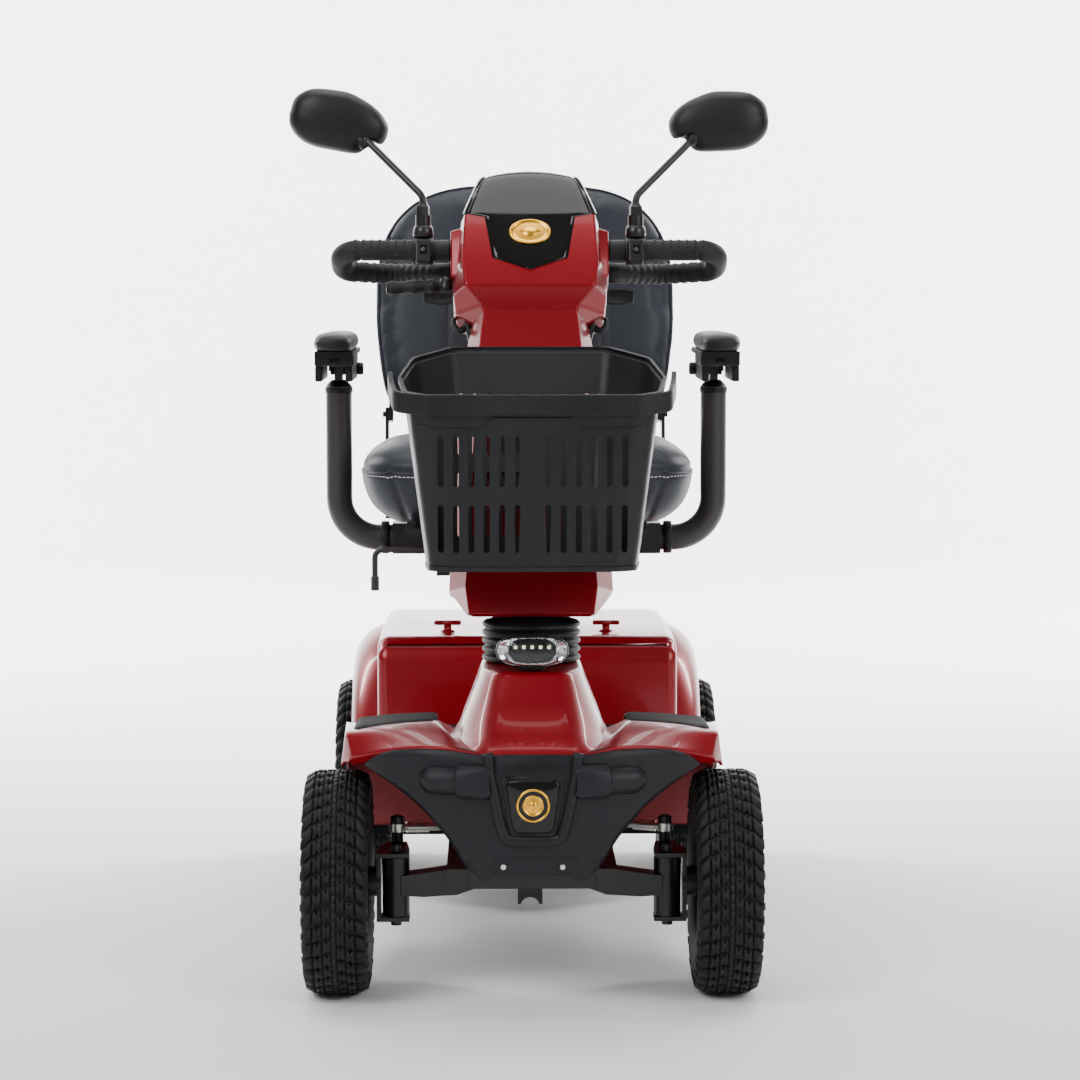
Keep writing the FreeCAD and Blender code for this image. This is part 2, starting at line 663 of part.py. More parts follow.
def basket():
    """One moulding: tapered walls with slots, a floor, and a banded rim that slopes down to the front."""
    wall = 3.0
    outer = loft([basket_ring(BASKET_FLOOR, 0, lambda y: BASKET_FLOOR_Z),
                  basket_ring(BASKET_TOP, 0, rim_height)])
    inner = loft([basket_ring(BASKET_FLOOR, -wall, lambda y: BASKET_FLOOR_Z + wall),
                  basket_ring(BASKET_TOP, -wall, lambda y: rim_height(y) + 0.5)])
    plan = BASKET_BAND + [(-x, y) for x, y in reversed(BASKET_BAND)]
    band = loft([[(x, y, rim_height(y) - drop) for x, y in plan] for drop in (28, 0)])
    body = fuse(outer, band).cut(inner)
    for row in FRONT_SLOT_ROWS:
        for k in range(6):
            body = slotted(body, SLOT_FIRST + SLOT_PITCH * k, -760, -610, row)
    for row in BACK_SLOT_ROWS:
        for k in range(5):
            body = slotted(body, 18.0 + SLOT_PITCH * k, -560, -380, row)
    return body


FRONT_SLOT_ROWS = ((664, 733), (758, 831))
BACK_SLOT_ROWS = ((673, 766), (790, 880))
SLOT_FIRST, SLOT_PITCH, SLOT_WIDE = 22.0, 21.6, 8.6


def slotted(body, x, y0, y1, row):
    """The basket with one upright slot at x and its twin on the other side."""
    for centre in (x, -x):
        body = body.cut(box(centre - SLOT_WIDE / 2, centre + SLOT_WIDE / 2, y0, y1, *row))
    return body


def basket_bracket():
    """Steel hook plate between the tiller's front and the basket's back."""
    lean = math.radians(TILT_DEG)
    plate = box(-60, 60, -79, -73, 190, 380)
    lug = box(-24, 24, -74, -54, 300, 330).cut(shell_form(SHROUD_SECTIONS, 0.3))
    hook = box(-24, 24, -84, -78, 300, 330)
    return from_tiller(fuse(plate, lug, hook)).cut(basket())


# ---- rear body ------------------------------------------------------------------------------------
def rear_form(grow):
    """Outer form of the rear body with its two fenders, or with grow below zero the space inside."""
    g = grow
    foot = 206 + min(g, 0) * 2
    side = [(96 - g, foot), (96 - g, 424), (120, 450 + g), (300, 453 + g), (560, 441 + g), (640, 438 + g),
            (670 + g, 424), (700 + g, 340), (700 + g, foot)]
    core = prism_x(side, -250 - g, 250 + g)
    fender_yz = [(300 - g, 250), (318 - g, 350 + g), (390, 418 + g), (560, 418 + g), (632 + g, 350 + g),
                 (650 + g, 250)]
    fender = prism_x(fender_yz, 240, 300 + g)
    return core.multiFuse([fender, mirror(fender)])


def wheel_wells(r, x0):
    wells = cylinder((x0, REAR_AXLE_Y, WHEEL_R), (400, REAR_AXLE_Y, WHEEL_R), r)
    low = box(x0, 400, REAR_AXLE_Y - r, REAR_AXLE_Y + r, 0, WHEEL_R)
    return wells.fuse(low)


def rear_shroud():
    """Red shell over the batteries and the drive, arched over the rear wheels, with a hole for the post."""
    outer, inner = rear_form(0), rear_form(-SHELL)
    for side in (wheel_wells(178, 226), mirror(wheel_wells(178, 226))):
        outer = outer.cut(side)
    for side in (wheel_wells(182, 222), mirror(wheel_wells(182, 222))):
        inner = inner.cut(side)
    shell = outer.cut(inner).cut(cylinder((0, SEAT_Y, 440), (0, SEAT_Y, 480), 34))
    return max(shell.removeSplitter().Solids, key=lambda solid: solid.Volume)


def rear_bumper():
    band = box(-212, 212, 700, 717.3, 232, 318)
    return band.makeFillet(8, [e for e in band.Edges if abs(e.CenterOfMass.y - 717.3) < 0.1])


def tail_lights():
    """Red lenses on the back of the rear body, outboard of the bumper's middle."""
    lens = prism_x([(698.3, 345), (708, 345), (694, 392), (681.5, 392)], 132, 214)
    return [lens, mirror(lens)]


def batteries():
    """Two sealed 12 V blocks on the rails, side by side under the seat."""
    block = box(4, 232, 106, 244, RAIL_Z[1], RAIL_Z[1] + 206)
    posts = [cylinder((x, 130, RAIL_Z[1] + 200), (x, 130, RAIL_Z[1] + 216), 8) for x in (40, 196)]
    one = fuse(block, *posts)
    return [one, mirror(one)]


def controller():
    """Finned motor controller on the rails behind the seat tube."""
    body = box(-80, 80, 500, 586, RAIL_Z[1] + 40, RAIL_Z[1] + 84)
    fins = [box(x, x + 3, 500, 586, RAIL_Z[1] + 83, RAIL_Z[1] + 96) for x in range(-78, 80, 12)]
    base = box(-110, 110, 505, 580, RAIL_Z[1] + 40, RAIL_Z[1] + 46)
    return fuse(body, base, *fins)


FREE_PIVOT = (138.0, 530.0, 150.0)


def transaxle():
    """Drive motor, differential case and axle tubes, hung under the rails by two saddles."""
    y, z = REAR_AXLE_Y, WHEEL_R
    case = cylinder((-62, y, z), (62, y, z), 55)
    tubes = cylinder((-224, y, z), (224, y, z), 24)
    motor = cylinder((30, y - 45, z), (30, y - 140, z), 40)
    motor = fuse(motor, cylinder((30, y - 20, z), (30, y - 50, z), 50))
    px, py, pz = FREE_PIVOT
    lug = box(px - 12, px - 6, y, py + 12, pz - 12, pz + 12)
    pin = cylinder((px - 10, py, pz), (px + 10, py, pz), 6)
    saddles = [box(x0, x0 + 30, y - 20, y + 20, z + 10, RAIL_Z[0] + 40) for x0 in (-125, 95)]
    whole = fuse(case, tubes, motor, lug, pin, *saddles)
    for x0, x1 in ((39, 226), (-226, -39)):
        whole = whole.cut(cylinder((x0, y, z), (x1, y, z), AXLE_R + RUN))
    return whole


def freewheel_lever():
    """Lever behind the left rear wheel that lets the drive turn free."""
    x, y, z = FREE_PIVOT
    hub = cylinder((x - 5.7, y, z), (x + 6, y, z), 13)
    arm = prism_x([(y - 6, z + 6), (y + 6, z - 6), (y + 118, z + 20), (y + 112, z + 32)], x - 4, x + 4)
    knob = Part.makeSphere(14, V(x, y + 122, z + 28))
    return fuse(hub, arm, knob).cut(cylinder((x - 7, y, z), (x + 8, y, z), 6 + RUN))


# ---- seat -----------------------------------------------------------------------------------------
SWIVEL_Z = (500.0, 558.0)
LEVER_Y, LEVER_Z = 75.0, 601.0


def seat_post():
    """Height-adjusting post in the frame's seat tube, with its cross pin."""
    post = cylinder((0, SEAT_Y, 206), (0, SEAT_Y, SWIVEL_Z[1] - 2), POST_R)
    stop = cylinder((0, SEAT_Y, 484), (0, SEAT_Y, SWIVEL_Z[0] - 0.3), 38)
    return fuse(post, stop)


def seat_base():
    """Swivel hub on the post, its plate and the two slide rails."""
    hub = cylinder((0, SEAT_Y, SWIVEL_Z[0]), (0, SEAT_Y, SWIVEL_Z[1]), 42)
    plate = box(-124, 124, 150, 430, SWIVEL_Z[1], SWIVEL_Z[1] + 8)
    rails = [box(x0, x0 + 16, 110, 460, SWIVEL_Z[1] + 8, SWIVEL_Z[1] + 20) for x0 in (-116, 100)]
    stay = box(-150, -100, LEVER_Y - 8, 180, SWIVEL_Z[1], SWIVEL_Z[1] + 8)
    ear = box(-150, -142, LEVER_Y - 10, LEVER_Y + 10, SWIVEL_Z[1], LEVER_Z + 12)
    whole = fuse(hub, plate, stay, ear, *rails)
    whole = whole.cut(cylinder((0, SEAT_Y, SWIVEL_Z[0] - 1), (0, SEAT_Y, SWIVEL_Z[1] - 1.5), POST_R + RUN))
    return whole.cut(cylinder((-160, LEVER_Y, LEVER_Z), (-130, LEVER_Y, LEVER_Z), 5 + RUN))


def swivel_lever():
    """L-shaped rod at the rider's right: pulling its drop handle frees the seat to turn."""
    bar = rod([(-128, LEVER_Y, LEVER_Z), (-252, LEVER_Y, LEVER_Z), (-252, LEVER_Y, 533)], 5, [14])
    knob = cylinder((-252, LEVER_Y, 533), (-252, LEVER_Y, 556), 7)
    return fuse(bar, knob)


def seat_frame():
    """Sliding frame: runners, pan, cross tube for the armrests, and the backrest's hinge plates."""
    low = SWIVEL_Z[1] + 20.3
    runners = [box(x0, x0 + 20, 150, 440, low, 630) for x0 in (-118, 98)]
    cross = box(-228, 228, ARM_Y - 27, ARM_Y + 27, ARM_LOW_Z - 26, ARM_LOW_Z + 26)
    pan = box(-200, 200, 10, 446, 628, SEAT_BASE_Z - 0.4)
    py, pz = BACK_PIVOT
    arms = []
    for x0, x1 in ((-247, -241), (241, 247)):
        plate = [(442, 622), (484, 622), (492, pz), (484, pz + 12), (460, pz + 12), (448, pz - 60)]
        arms.append(prism_x(plate, x0, x1))
        out = math.copysign(1, x0)
        arms.append(cylinder((out * 236, py, pz), (out * 252, py, pz), 5))
    strap = box(-247, 247, 442, 482, 622, 628)
    whole = fuse(pan, cross, strap, *runners, *arms)
    for side in (-1, 1):
        start, end = (side * 120, ARM_Y, ARM_LOW_Z), (side * 229, ARM_Y, ARM_LOW_Z)
        whole = whole.cut(cylinder(start, end, ARM_R + 0.1))
    return whole


def seat_cushion():
    body = box(-281, 281, -15, 436, SEAT_BASE_Z, SEAT_TOP_Z - 2)
    upright = [e for e in body.Edges if abs(e.tangentAt(0).z) > 0.9]
    body = body.makeFillet(70, upright)
    level = [e for e in body.Edges if abs(e.CenterOfMass.z - SEAT_TOP_Z + 2) < 1]
    return body.makeFillet(30, level)


def lean_back(shape):
    """Places a backrest piece drawn upright, with its hinge at 0, 0, 0."""
    leaned = shape.copy()
    leaned.rotate(V(0, 0, 0), X_AXIS, -BACK_LEAN_DEG)
    leaned.translate(V(0, *BACK_PIVOT))
    return leaned


BACK_HALF = [   # half outline of the backrest from its foot to its top
    (228, 15), (232, 20), (250, 22), (258, 36), (266, 80), (272, 130), (275, 170), (275, 240), (271, 280),
    (262, 312), (243, 352), (203, 391), (148, 413), (88, 420), (0, 422),
]


def seat_back():
    """Padded backrest with an arched top, let into the straps at its foot."""
    ring = BACK_HALF + [(-x, z) for x, z in reversed(BACK_HALF[:-1])]
    pad = prism_y(ring, -18, 62)
    for strap in (back_strap(1), back_strap(-1)):
        pad = pad.cut(strap)
    return lean_back(pad)


def back_strap(side):
    """One steel strap, upright, with the hinge at 0, 0, 0."""
    strap = prism_x([(-13, -13), (13, -13), (30, 20), (30, 100), (0, 100), (-13, 40)], 233.2, 240.7)
    return strap if side > 0 else mirror(strap)


def back_brackets():
    """Steel straps screwed to the backrest's sides, bored for the hinge pins."""
    bore = cylinder((-250, 0, 0), (250, 0, 0), 5 + RUN)
    return [lean_back(back_strap(side).cut(bore)) for side in (-1, 1)]


def armrest_posts():
    """Bent tubes from under the seat, each with a cap and the lug that its pad hinges on."""
    top = 856.0
    arm = rod([(140, ARM_Y, ARM_LOW_Z), (ARM_X, ARM_Y, ARM_LOW_Z), (ARM_X, ARM_Y, top)], ARM_R, [68])
    cap = lathe([(0, 0), (0, 23), (6, 23), (14, 15), (16, 0)], (ARM_X, ARM_Y, top), Z_AXIS)
    neck = cylinder((ARM_X, ARM_Y, top + 10), (ARM_X, ARM_Y, ARM_PIVOT_Z - 19), 12)
    lug = box(ARM_X - 7, ARM_X + 7, ARM_Y - 12, ARM_Y + 12, ARM_PIVOT_Z - 20, ARM_PIVOT_Z + 11)
    bore = cylinder((ARM_X - 9, ARM_Y, ARM_PIVOT_Z), (ARM_X + 9, ARM_Y, ARM_PIVOT_Z), 5 + RUN)
    one = fuse(arm, cap, neck, lug).cut(bore)
    return [one, mirror(one)]


def armrest_bracket():
    """Two legs and the plate under one armrest pad, with the hinge pin."""
    x, y, z = ARM_X, ARM_Y, ARM_PIVOT_Z
    legs = [box(x0, x0 + 6, y - 15, y + 15, z - 10, z + 34) for x0 in (x - 13.3, x + 7.3)]
    plate = box(x - 32, x + 30, 66, 352, z + 26, z + 34)
    pin = cylinder((x - 17, y, z), (x + 17, y, z), 5)
    return fuse(plate, pin, *legs)


def armrest_pad():
    body = box(ARM_X - 36, ARM_X + 34, 45, 365, ARM_PIVOT_Z + 34.2, 968)
    upright = [e for e in body.Edges if abs(e.tangentAt(0).z) > 0.9]
    body = body.makeFillet(22, upright)
    level = [e for e in body.Edges if abs(e.CenterOfMass.z - 968) < 1]
    return body.makeFillet(12, level)


def write(name, shapes):
    """Checks every solid and writes them to one STEP file."""
    solids = []
    for shape in shapes if isinstance(shapes, list) else [shapes]:
        solids += shape.Solids
    for solid in solids:
        if not solid.isValid() or solid.Volume <= 0:
            raise ValueError(f"{name} holds a bad solid")
    whole = solids[0] if len(solids) == 1 else Part.makeCompound(solids)
    whole.exportStep(f"parts/{name}.step")
    print(f"{name}: {len(solids)} solids, {sum(s.Volume for s in solids) / 1000:.1f} cm3")


def main():
    os.makedirs("parts", exist_ok=True)
    pieces = {}
    for x, side in ((TRACK_HALF, "left"), (-TRACK_HALF, "right")):
        for y, end in ((FRONT_AXLE_Y, "front"), (REAR_AXLE_Y, "rear")):
            pieces[f"tyre_{end}_{side}"] = tyre(x, y)
            pieces[f"rim_{end}_{side}"] = rim(x, y, math.copysign(1, x), end == "rear")
    pieces["knuckle_left"] = knuckle(1)
    pieces["knuckle_right"] = knuckle(-1)
    pieces["tie_rod_left"] = tie_rod(1)
    pieces["tie_rod_right"] = tie_rod(-1)
    for make in (steering_stem, steering_tower, frame, floor_pan, floor_mats, front_shroud, column_cowl,
                 front_bumper, badge_panel, headlight_housing, headlight_lens, headlight_leds, bellows,
                 tiller_tube, tiller_shroud, head_shell, console_cover, control_panel, speed_dial,
                 throttle_lever, tilt_lever, handlebar, handlebar_grips, bag_hooks, mirror_stems, basket,
                 basket_bracket, rear_shroud, rear_bumper, tail_lights, batteries, controller, transaxle,
                 freewheel_lever, seat_post, seat_base, swivel_lever, seat_frame, seat_cushion, seat_back,
                 back_brackets, armrest_posts):
        pieces[make.__name__] = make()
    for name, make in (("mirror_{}", mirror_head), ("armrest_bracket_{}", armrest_bracket),
                       ("armrest_pad_{}", armrest_pad)):
        pieces[name.format("left")] = make()
        pieces[name.format("right")] = mirror(make())
    for name, shapes in pieces.items():
        write(name, shapes)


main()
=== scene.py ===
import json
import math
import bmesh
import bpy
from mathutils import Matrix, Vector


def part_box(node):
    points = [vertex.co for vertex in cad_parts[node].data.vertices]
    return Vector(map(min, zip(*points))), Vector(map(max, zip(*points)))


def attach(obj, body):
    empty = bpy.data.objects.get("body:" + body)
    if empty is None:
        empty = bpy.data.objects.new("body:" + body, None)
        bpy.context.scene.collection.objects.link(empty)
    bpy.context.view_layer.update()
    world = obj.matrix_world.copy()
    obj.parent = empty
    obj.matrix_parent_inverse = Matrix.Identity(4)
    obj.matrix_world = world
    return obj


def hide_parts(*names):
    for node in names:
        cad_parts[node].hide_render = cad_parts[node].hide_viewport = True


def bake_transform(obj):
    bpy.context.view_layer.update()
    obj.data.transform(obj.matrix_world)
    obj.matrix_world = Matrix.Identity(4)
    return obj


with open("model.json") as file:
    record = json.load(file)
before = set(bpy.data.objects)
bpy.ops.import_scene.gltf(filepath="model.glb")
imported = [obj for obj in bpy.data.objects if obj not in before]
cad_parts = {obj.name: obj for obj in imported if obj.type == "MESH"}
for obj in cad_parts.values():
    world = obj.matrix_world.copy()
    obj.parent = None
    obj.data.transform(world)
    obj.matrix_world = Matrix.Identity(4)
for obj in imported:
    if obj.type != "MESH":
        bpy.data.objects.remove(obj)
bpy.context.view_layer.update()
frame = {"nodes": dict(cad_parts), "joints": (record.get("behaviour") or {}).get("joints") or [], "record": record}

MM = 0.001
PI = math.pi
SIDES = ((1, "left"), (-1, "right"))

# ---- places read from the frame -------------------------------------------------------------------
JOINTS = {joint["name"]: joint for joint in frame["joints"]}
FRONT_AXLE = Vector(JOINTS["wheel_front_left_spin"]["pos_m"])
REAR_AXLE = Vector(JOINTS["wheel_rear_left_spin"]["pos_m"])
PIVOT = Vector(JOINTS["tiller_tilt"]["pos_m"])
TILLER_UP = Vector(JOINTS["throttle_turn"]["axis"])
TILLER_BACK = Vector(JOINTS["speed_dial_turn"]["axis"])
BACK_HINGE = Vector(JOINTS["backrest_fold"]["pos_m"])
TILLER_SLOPE = -TILLER_BACK.z / TILLER_UP.z
POD_FRONT_Y = -0.7225
ARMRESTS = ("armrest_left", "armrest_right")
MIRRORS = ("mirror_left", "mirror_right")


def on_tiller(x, y, z):
    """A point from millimetres along the tiller's axes: x left, y towards the rider, z up the column."""
    return PIVOT + Vector((x * MM, 0, 0)) + TILLER_BACK * (y * MM) + TILLER_UP * (z * MM)


def mm(x, y, z):
    return Vector((x, y, z)) * MM


# ---- outlines and paths ---------------------------------------------------------------------------
def angles(steps):
    return [2 * PI * k / steps for k in range(steps)]


def superellipse(half, high, power, steps):
    """A rounded rectangle: power 1 is an ellipse, and less is squarer."""
    def bend(value):
        return math.copysign(abs(value) ** power, value)
    return [(half * bend(math.cos(a)), high * bend(math.sin(a))) for a in angles(steps)]


def interpolate(x, table):
    """Straight interpolation in a table of (x, value) pairs."""
    for (x0, v0), (x1, v1) in zip(table, table[1:]):
        if x <= x1:
            return v0 + (v1 - v0) * (x - x0) / (x1 - x0)
    return table[-1][1]


def smooth_path(points, samples):
    """Evenly counted points on the Catmull-Rom curve through the given ones."""
    pts = [Vector(p) for p in points]
    pts = [pts[0] * 2 - pts[1]] + pts + [pts[-1] * 2 - pts[-2]]
    out = []
    spans = len(pts) - 3
    for k in range(samples + 1):
        t = spans * k / samples
        i = min(int(t), spans - 1)
        t -= i
        a, b, c, d = pts[i:i + 4]
        bend = (2 * a - 5 * b + 4 * c - d) * t * t + (3 * b - a - 3 * c + d) * t ** 3
        out.append(0.5 * (2 * b + (c - a) * t + bend))
    return out


def rounded_path(points, bends, arc=8, closed=False):
    """A line through the points with each corner turned by an arc of its own radius."""
    count = len(points)
    out = [] if closed else [points[0]]
    for k, radius in zip(range(count) if closed else range(1, count - 1), bends):
        corner = points[k]
        into = (corner - points[k - 1]).normalized()
        away = (points[(k + 1) % count] - corner).normalized()
        turn = into.angle(away)
        start = corner - into * radius * math.tan(turn / 2)
        centre = corner + (away - into).normalized() * (radius / math.cos(turn / 2))
        for step in range(arc + 1):
            swing = Matrix.Rotation(turn * step / arc, 3, into.cross(away))
            out.append(centre + swing @ (start - centre))
    return out if closed else out + [points[-1]]


def even_path(path, count):
    """The same line with its points spread evenly."""
    spans = [(b - a).length for a, b in zip(path, path[1:])]
    total = sum(spans)
    out, k, done = [], 0, 0.0
    for step in range(count + 1):
        want = total * step / count
        while k < len(spans) - 1 and done + spans[k] < want:
            done += spans[k]
            k += 1
        out.append(path[k].lerp(path[k + 1], min(1.0, (want - done) / spans[k])))
    return out


def surface_path(made, path, lift=0.0004):
    """Moves each point of a path onto the nearest place of a finished skin."""
    out = []
    for p in path:
        hit, spot, normal, _ = made.closest_point_on_mesh(p)
        out.append(spot + normal * lift)
    return out


# ---- mesh helpers ---------------------------------------------------------------------------------
def mesh_object(name, points, faces, material):
    mesh = bpy.data.meshes.new(name)
    mesh.from_pydata([tuple(p) for p in points], [], faces)
    build = bmesh.new()
    build.from_mesh(mesh)
    bmesh.ops.remove_doubles(build, verts=build.verts, dist=1e-6)
    bmesh.ops.recalc_face_normals(build, faces=build.faces)
    build.to_mesh(mesh)
    build.free()
    mesh.materials.append(material)
    mesh.shade_smooth()
    made = bpy.data.objects.new(name, mesh)
    bpy.context.scene.collection.objects.link(made)
    return made


def add_modifier(made, kind, **settings):
    modifier = made.modifiers.new(kind.lower(), kind)
    for key, value in settings.items():
        setattr(modifier, key, value)
    return made


def bevel(made, width, segments=3, angle=30):
    """Rounds the hard edges and keeps the flats flat."""
    return add_modifier(made, "BEVEL", width=width, segments=segments, limit_method="ANGLE",
                        angle_limit=math.radians(angle), harden_normals=True)


def subdivide(made, levels=2):
    return add_modifier(made, "SUBSURF", levels=levels, render_levels=levels)


def thicken(made, depth):
    return add_modifier(made, "SOLIDIFY", thickness=depth, offset=-1)


def apply_modifiers(made):
    graph = bpy.context.evaluated_depsgraph_get()
    baked = bpy.data.meshes.new_from_object(made.evaluated_get(graph))
    made.modifiers.clear()
    made.data = baked
    return made


def cut_away(made, cutters):
    """Takes the cutters' shapes out of a piece, and removes the cutters."""
    for cutter in cutters:
        add_modifier(made, "BOOLEAN", operation="DIFFERENCE", solver="EXACT", object=cutter)
    apply_modifiers(made)
    for cutter in cutters:
        bpy.data.objects.remove(cutter)


def sharpen(made, angle):
    made.data.set_sharp_from_angle(angle=math.radians(angle))
    return made


def crease(made, test, weight):
    """Keeps the edges that test() picks, from their two ends, sharp under subdivision."""
    mesh = made.data
    layer = mesh.attributes.new("crease_edge", "FLOAT", "EDGE")
    for edge in mesh.edges:
        if test(*(mesh.vertices[v].co for v in edge.vertices)):
            layer.data[edge.index].value = weight


def grid(name, rows, material, closed=False, caps=()):
    """A sheet through rows of points; closed joins each row's ends, and caps lists the rows filled in."""
    wide = len(rows[0])
    faces = []
    for r in range(len(rows) - 1):
        for c in range(wide if closed else wide - 1):
            n = (c + 1) % wide
            faces.append((r * wide + c, r * wide + n, (r + 1) * wide + n, (r + 1) * wide + c))
    faces += [tuple(row * wide + c for c in range(wide)) for row in caps]
    return mesh_object(name, [p for row in rows for p in row], faces, material)


def loft(name, rings, material, cap_start=True, cap_end=True):
    """A skin through rings of points, closed at its two ends unless told not to."""
    return grid(name, rings, material, True, [0] * cap_start + [len(rings) - 1] * cap_end)


def prism_into(points, faces, first, second):
    """Adds a closed block between two matching outlines to a mesh under construction."""
    start, n = len(points), len(first)
    points += list(first) + list(second)
    faces += [tuple(range(start, start + n)), tuple(range(start + n, start + 2 * n))]
    faces += [(start + i, start + (i + 1) % n, start + n + (i + 1) % n, start + n + i) for i in range(n)]


def prism(name, first, second, material):
    points, faces = [], []
    prism_into(points, faces, first, second)
    return mesh_object(name, points, faces, material)


def block_ends(low, high, place=lambda *p: Vector(p)):
    """The two ends of a block between two corners; place turns coordinates into a point."""
    outline = ((low[1], low[2]), (high[1], low[2]), (high[1], high[2]), (low[1], high[2]))
    return [[place(x, y, z) for y, z in outline] for x in (low[0], high[0])]


def box(name, low, high, material, width=0.002, segments=3):
    return bevel(prism(name, *block_ends(low, high), material), width, segments)


def tiller_plate(name, low, high, material, width=0.0015):
    """A block along the tiller's axes; its corners are in millimetres."""
    return bevel(prism(name, *block_ends(low, high, on_tiller), material), width, 3)


def turned(name, centre, axis, profile, material, steps=48):
    """A turned piece: profile holds (distance along the axis, radius) pairs in millimetres."""
    axis = Vector(axis).normalized()
    side = axis.orthogonal().normalized()
    other = axis.cross(side)
    rows = []
    for along, radius in profile:
        spot = Vector(centre) + axis * (along * MM)
        rows.append([spot + (side * math.cos(a) + other * math.sin(a)) * (radius * MM)
                     for a in angles(steps)])
    return grid(name, rows, material, closed=True)


def sweep(name, path, section, material, up=(0, 0, 1), steps=24):
    """A tube along path; section(share, angle) gives (sideways, upward) offsets in millimetres."""
    up = Vector(up)
    rings = []
    last = len(path) - 1
    for k, p in enumerate(path):
        ahead = (path[min(k + 1, last)] - path[max(k - 1, 0)]).normalized()
        side = ahead.cross(up)
        side = side.normalized() if side.length > 0.05 else ahead.orthogonal().normalized()
        rise = side.cross(ahead).normalized()
        ring = []
        for angle in angles(steps):
            a, b = section(k / last, angle)
            ring.append(p + side * (a * MM) + rise * (b * MM))
        rings.append(ring)
    return loft(name, rings, material)


def tube(across, high=None):
    """The section of a round or oval tube, from its half sizes in millimetres."""
    high = high or across
    return lambda share, angle: (across * math.cos(angle), high * math.sin(angle))


def mirrored(made, name):
    """A copy on the other side of the scooter."""
    copy = made.copy()
    copy.data = made.data.copy()
    copy.name = copy.data.name = name
    for v in copy.data.vertices:
        v.co.x = -v.co.x
    copy.data.flip_normals()
    bpy.context.scene.collection.objects.link(copy)
    return copy


def settle(made, body, replaces=(), slot=None):
    """Fixes a finished piece to its body and hides the CAD nodes it stands for; the slot it works out is not used.
    """
    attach(made, body)
    slot = slot or SLOTS.get(made.data.materials[0].name)
    if replaces:
        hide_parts(*replaces)
    return made


def both(made, name, bodies, slot=None):
    """A piece and its mirror image; bodies is one name, or the left and the right one."""
    left, right = (bodies, bodies) if isinstance(bodies, str) else bodies
    other = mirrored(made, f"{name}_right")
    return settle(made, left, slot=slot), settle(other, right, slot=slot)


# ---- materials ------------------------------------------------------------------------------------
def shader(name, color, roughness, metallic=0.0, **sockets):
    material = bpy.data.materials.new(name)
    material.use_nodes = True
    principled = material.node_tree.nodes["Principled BSDF"]
    sockets.update(Base_Color=(*color, 1), Roughness=roughness, Metallic=metallic)
    for key, value in sockets.items():
        principled.inputs[key.replace("_", " ")].default_value = value
    return material


def texture(material, kind, scale, **sockets):
    """A texture in the object's own coordinates, and its outputs."""
    nodes = material.node_tree.nodes
    coords = nodes.get("Texture Coordinate") or nodes.new("ShaderNodeTexCoord")
    made = nodes.new(f"ShaderNodeTex{kind}")
    made.inputs["Scale"].default_value = scale
    for key, value in sockets.items():
        made.inputs[key].default_value = value
    material.node_tree.links.new(coords.outputs["Object"], made.inputs["Vector"])
    return made.outputs


def vary(material, source, low, high, start=0.0, end=1.0, socket="Base Color"):
    """Runs a socket from low to high along a texture."""
    tree = material.node_tree
    made = tree.nodes.new("ShaderNodeValToRGB")
    for element, value, place in zip(made.color_ramp.elements, (low, high), (start, end)):
        element.color = (*value, 1)
        element.position = place
    tree.links.new(source, made.inputs["Fac"])
    tree.links.new(made.outputs["Color"], tree.nodes["Principled BSDF"].inputs[socket])


def vary_roughness(material, source, low, high, start=0.0, end=1.0):
    vary(material, source, (low,) * 3, (high,) * 3, start, end, "Roughness")


def relief(material, height, strength, distance, socket="Normal"):
    """Adds a bump layer over the one that the socket already has."""
    tree = material.node_tree
    target = tree.nodes["Principled BSDF"].inputs[socket]
    made = tree.nodes.new("ShaderNodeBump")
    made.inputs["Strength"].default_value = strength
    made.inputs["Distance"].default_value = distance
    tree.links.new(height, made.inputs["Height"])
    if target.is_linked:
        tree.links.new(target.links[0].from_socket, made.inputs["Normal"])
    tree.links.new(made.outputs["Normal"], target)


def scaled(color, factor, lift=0.0):
    return tuple(c * factor + lift for c in color)


def red_paint():
    """Candy red with fine metal flake under clear coat."""
    m = shader("candy_red", (0.22, 0.0003, 0.006), 0.3, 0.25, Coat_Weight=0.42, Coat_Roughness=0.05,
               Coat_IOR=1.35, Specular_IOR_Level=0.3)
    flake = texture(m, "Voronoi", 1400)
    vary(m, flake["Color"], (0.18, 0.0002, 0.0045), (0.26, 0.0004, 0.0075))
    relief(m, flake["Distance"], 0.05, 0.0002)
    relief(m, texture(m, "Noise", 260, Detail=2)["Fac"], 0.03, 0.0003, "Coat Normal")
    return m


def moulded(name, color, roughness=0.5, grain=1600, depth=0.16):
    """Moulded plastic: fine spark-eroded grain and slow cloudy variation."""
    m = shader(name, color, roughness, Specular_IOR_Level=0.3)
    cloud = texture(m, "Noise", 9, Detail=4)["Fac"]
    vary(m, cloud, scaled(color, 0.75), scaled(color, 1.25), 0.3, 0.7)
    vary_roughness(m, cloud, roughness - 0.06, roughness + 0.08, 0.3, 0.7)
    relief(m, texture(m, "Noise", grain, Detail=3)["Fac"], depth, 0.0004)
    return m


def vinyl(name, color, roughness=0.46):
    """Seat vinyl: pebble grain in cells of about a millimetre, worn a little lighter on the crowns."""
    m = shader(name, color, roughness, Sheen_Weight=0.05, Sheen_Roughness=0.5, Specular_IOR_Level=0.35)
    pebble = texture(m, "Voronoi", 720)["Distance"]
    pebble.node.feature = "DISTANCE_TO_EDGE"
    vary(m, texture(m, "Noise", 6, Detail=5)["Fac"], scaled(color, 0.82), scaled(color, 1.25), 0.3, 0.72)
    relief(m, pebble, 0.35, 0.0003)
    relief(m, texture(m, "Noise", 1500, Detail=3)["Fac"], 0.2, 0.00015)
    return m


